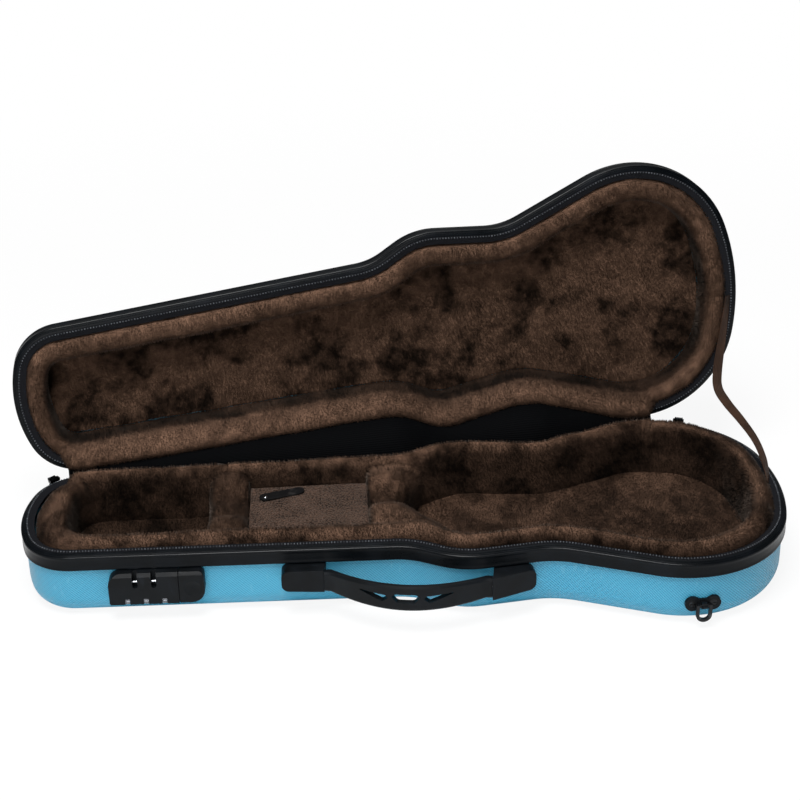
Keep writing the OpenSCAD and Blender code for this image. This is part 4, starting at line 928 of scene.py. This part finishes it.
def block_pad(name, node, x0, length, flare, dip, centre, slope, fall, lit, seed):
    """A plush-wrapped foam block across the neck channel that climbs into both borders.
    It has a dip for the neck, tops that fall off toward both faces, and ends flared toward the body."""
    x, y = np.linspace(0.0, 1.0, 31), np.linspace(BLOCK_FRONT, BLOCK_BACK, 71)
    off = np.clip((np.abs(y - centre) - DIP_FLAT) / slope, 0.0, 1.0)
    top = BLOCK_TOP - dip * (0.5 + 0.5 * np.cos(np.pi * off))
    fall = np.interp(x, (0, 0.05, 0.14, 0.32, 0.55, 0.75, 0.9, 1), fall)
    front = np.clip((FLARE_FRONT - y) / FLARE_RUN, 0.0, 1.0)
    back = np.clip((y - FLARE_BACK) / (BLOCK_BACK - FLARE_BACK), 0.0, 1.0)
    flared = flare * np.maximum(front, 0.6 * back) ** 1.4
    across = x0 + BLOCK_GAP + x[:, None] * (length - 2 * BLOCK_GAP + flared)
    plan = np.dstack((across, np.broadcast_to(y, across.shape)))
    pad = slab(name, plan, top[None, :] - fall[:, None], BLOCK_UNDER, plush)
    b = bmesh.new()
    b.from_mesh(pad.data)
    upright = [e for e in b.edges if abs(e.verts[0].co.z - e.verts[1].co.z) > UPRIGHT]
    bmesh.ops.subdivide_edges(b, edges=upright, cuts=8, use_grid_fill=True)
    b.to_mesh(pad.data)
    b.free()
    rumple(pad, amount=1.0, seed=seed)
    high = np.array([v.co.z for v in pad.data.vertices])
    lining(pad, "base", lit * np.clip((high - BLOCK_DARK_Z) / BLOCK_FADE, 0.1, 1.0), 0.4, node)
    grow(pad, name + "_pile", "base", 19000, (high > PILE_FROM_Z).astype(float), int(seed))


block_pad("divider_pad", "head_divider", x0=-191.0, length=39.0, flare=0.0, dip=12.0, centre=15.0, slope=37.0,
          fall=(14, 7, 2.5, 0, 0, 0.6, 3, 7), lit=0.6, seed=21.0)
block_pad("rest_pad", "neck_rest", x0=-34.0, length=38.0, flare=42.0, dip=18.0, centre=19.0, slope=21.0,
          fall=(7, 3, 0.9, 0, 0, 2, 9, 24), lit=1.0, seed=22.0)


def coat(node, material):
    """A material on a CAD node that shows as it is."""
    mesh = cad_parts[node].data
    mesh.materials.clear()
    mesh.materials.append(material)


coat("box_ledges", plush)

# The accessory lid: a stiff board covered in a shorter, greyer pile, hinged along one edge by its cloth.
# It lies on two ledges in the neck channel, between the head divider and the neck rest.
BOX_X, BOX_Y = (-151.0, -35.0), (-41.0, 55.0)
BOX_TOP, BOX_UNDER, EDGE_DROP, EDGE_REACH = 59.4, 56.0, 1.8, 1.6


def short_pile(w):
    patch, speck = grain(w, 40.0, 3.0).ramp(0.35, 0.68), grain(w, 520.0, 3.0).ramp(0.36, 0.64)
    return {"Base Color": (patch * 0.3 + speck * 0.6).mix(tone("100a08"), tone("584439")),
            "Normal": bump(w, speck, 0.0012)}


felt = paint("short_pile", PLUSH, short_pile)
x, y = np.linspace(*BOX_X, 59), np.linspace(*BOX_Y, 49)
from_end = np.minimum(x - BOX_X[0], BOX_X[1] - x)[:, None]
from_side = np.minimum(y - BOX_Y[0], BOX_Y[1] - y)[None, :]
top = BOX_TOP - EDGE_DROP * np.exp(-np.minimum(from_end, from_side) / EDGE_REACH)
board = slab("box_lid_pad", np.dstack(np.meshgrid(x, y, indexing="ij")), top, BOX_UNDER, felt)
rumple(board, amount=0.5, seed=31.0)
lining(board, "box_lid", 1.0, 1.0, "box_lid")

# The black mouldings: lock housing and release, handle caps and ring plate, all glass-filled nylon with a
# fine spark grain. Housing and caps are screwed through the wall to plates inside it.
FLAT_ANGLE, EDGE_ANGLE, SMOOTH_ANGLE = math.radians(0.6), math.radians(28.0), math.radians(50.0)


def nylon(w):
    fine = grain(w, 1500.0, 2.0)
    soft = grain(w, 40.0, 3.0).ramp(0.35, 0.7)
    rub = grain(w, 260.0, 3.0, (1.0, 1.0, 0.2)).ramp(0.62, 0.74)
    return {"Base Color": (soft * 0.35 + rub * 0.5).mix(tone("06080a"), tone("14181d")),
            "Roughness": fine * 0.16 + soft * 0.08 + 0.36, "Normal": bump(w, fine + rub * 0.4, 0.00008, 0.6)}


def soften(name, body, node, width, segments, material, slot):
    """A CAD node's shape with its edges rounded by width."""
    b = bmesh.new()
    b.from_mesh(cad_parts[node].data)
    bmesh.ops.remove_doubles(b, verts=b.verts, dist=2e-6)
    bmesh.ops.dissolve_limit(b, angle_limit=FLAT_ANGLE, verts=b.verts, edges=b.edges)
    sharp = [e for e in b.edges if len(e.link_faces) == 2 and e.calc_face_angle(0.0) > EDGE_ANGLE]
    bmesh.ops.bevel(b, geom=sharp, offset=width / 1000, offset_type="OFFSET", segments=segments, profile=0.5,
                    affect="EDGES", clamp_overlap=True)
    mesh = bpy.data.meshes.new(name)
    b.to_mesh(mesh)
    b.free()
    mesh.shade_smooth()
    mesh.set_sharp_from_angle(angle=SMOOTH_ANGLE)
    mesh.materials.append(material)
    carrier = carried(name, mesh)
    carrier.modifiers.new("normals", "WEIGHTED_NORMAL").keep_sharp = True
    seat(settled(name, carrier), body, slot, node)


black_nylon = paint("black_nylon", {"Specular IOR Level": 0.12}, nylon)
for name, body, node, width in (("lock_case", "base", "lock_body", 1.0),
                                ("lock_slide", "release", "lock_release", 0.9),
                                ("cap_left", "base", "handle_cap_left", 1.6),
                                ("cap_right", "base", "handle_cap_right", 1.6),
                                ("ring_base", "base", "ring_plate", 0.7)):
    soften(name, body, node, width, 3, black_nylon, "black_plastic")

# The carrying grip: a bowed bar of softer black plastic with three cut-outs.
# It turns on steel pins in the two caps.


def soft_grip(w):
    fine = grain(w, 700.0, 3.0)
    soft = grain(w, 30.0, 3.0).ramp(0.35, 0.7)
    return {"Base Color": (soft * 0.4 + fine * 0.15).mix(tone("06080a"), tone("14181d")),
            "Roughness": fine * 0.18 + 0.38, "Normal": bump(w, fine, 0.00012, 0.6)}


grip_skin = paint("grip_skin", {"Specular IOR Level": 0.12}, soft_grip)
soften("grip_bar", "grip", "handle_grip", 1.4, 3, grip_skin, "grip")

# The small metal: bright catch pins and worn dials of the lock, steel screws and pins, zip sliders and pulls,
# the black strap ring with its screws, and the rivet of the leather tab.


def bright(w):
    fine = grain(w, 1200.0, 2.0, (1.0, 1.0, 6.0))
    return {"Base Color": fine.mix(tone("7d8085"), tone("b4b7bb")), "Roughness": fine * 0.2 + 0.12}


def dark_metal(w):
    fine = grain(w, 800.0, 2.0)
    rub = grain(w, 120.0, 3.0).ramp(0.55, 0.75)
    return {"Base Color": rub.mix(tone("17181a"), tone("4a4c50")), "Roughness": fine * 0.2 + 0.25}


def worn_metal(w):
    knurl = grain(w, 900.0, 2.0, (1.0, 1.0, 4.0))
    return {"Base Color": knurl.mix(tone("3a3c40"), tone("85888d")), "Roughness": knurl * 0.2 + 0.3}


chrome = paint("chrome", {"Metallic": 1.0}, bright)
black_metal = paint("black_metal", {"Metallic": 0.6}, dark_metal)
gunmetal = paint("gunmetal", {"Metallic": 1.0}, dark_metal)
dial_metal = paint("dial_metal", {"Metallic": 0.9}, worn_metal)
for name, body, node, width, material, slot in (
    ("dial_a_wheel", "dial_a", "dial_a", 0.4, dial_metal, "dial"),
    ("dial_b_wheel", "dial_b", "dial_b", 0.4, dial_metal, "dial"),
    ("dial_c_wheel", "dial_c", "dial_c", 0.4, dial_metal, "dial"),
    ("catch_pins", "base", "lock_posts", 0.3, chrome, "bright_metal"),
    ("slider_head", "base", "zip_slider_head", 0.5, gunmetal, "steel"),
    ("slider_tail", "base", "zip_slider_tail", 0.5, gunmetal, "steel"),
    ("pull_head", "pull_head", "zip_pull_head", 0.4, gunmetal, "steel"),
    ("pull_tail", "pull_tail", "zip_pull_tail", 0.4, gunmetal, "steel"),
    ("ring_hoop", "ring", "strap_ring", 0.8, black_metal, "black_metal"),
    ("rivet_head", "box_lid", "tab_rivet", 0.5, chrome, "bright_metal"),
):
    soften(name, body, node, width, 2, material, slot)
for node in ("lock_plate", "lock_screws", "dial_axle", "handle_plates", "handle_screws", "handle_pins"):
    coat(node, chrome)
coat("ring_screws", black_metal)

# The pull tab of the accessory lid: a strip of black leather with a pebbled grain and worn patches,
# held to the board by one rivet.


def leather(w):
    pebble = grain(w, 900.0, 3.0)
    wear = grain(w, 120.0, 3.0).ramp(0.45, 0.7)
    return {"Base Color": (wear * 0.6).mix(tone("0c0c0d"), tone("2e2c2b")), "Roughness": pebble * 0.2 + 0.4,
            "Normal": bump(w, pebble, 0.0002)}


tab_leather = paint("tab_leather", {"Specular IOR Level": 0.2}, leather)
soften("tab_strip", "box_lid", "box_tab", 0.4, 2, tab_leather, "tab_leather")
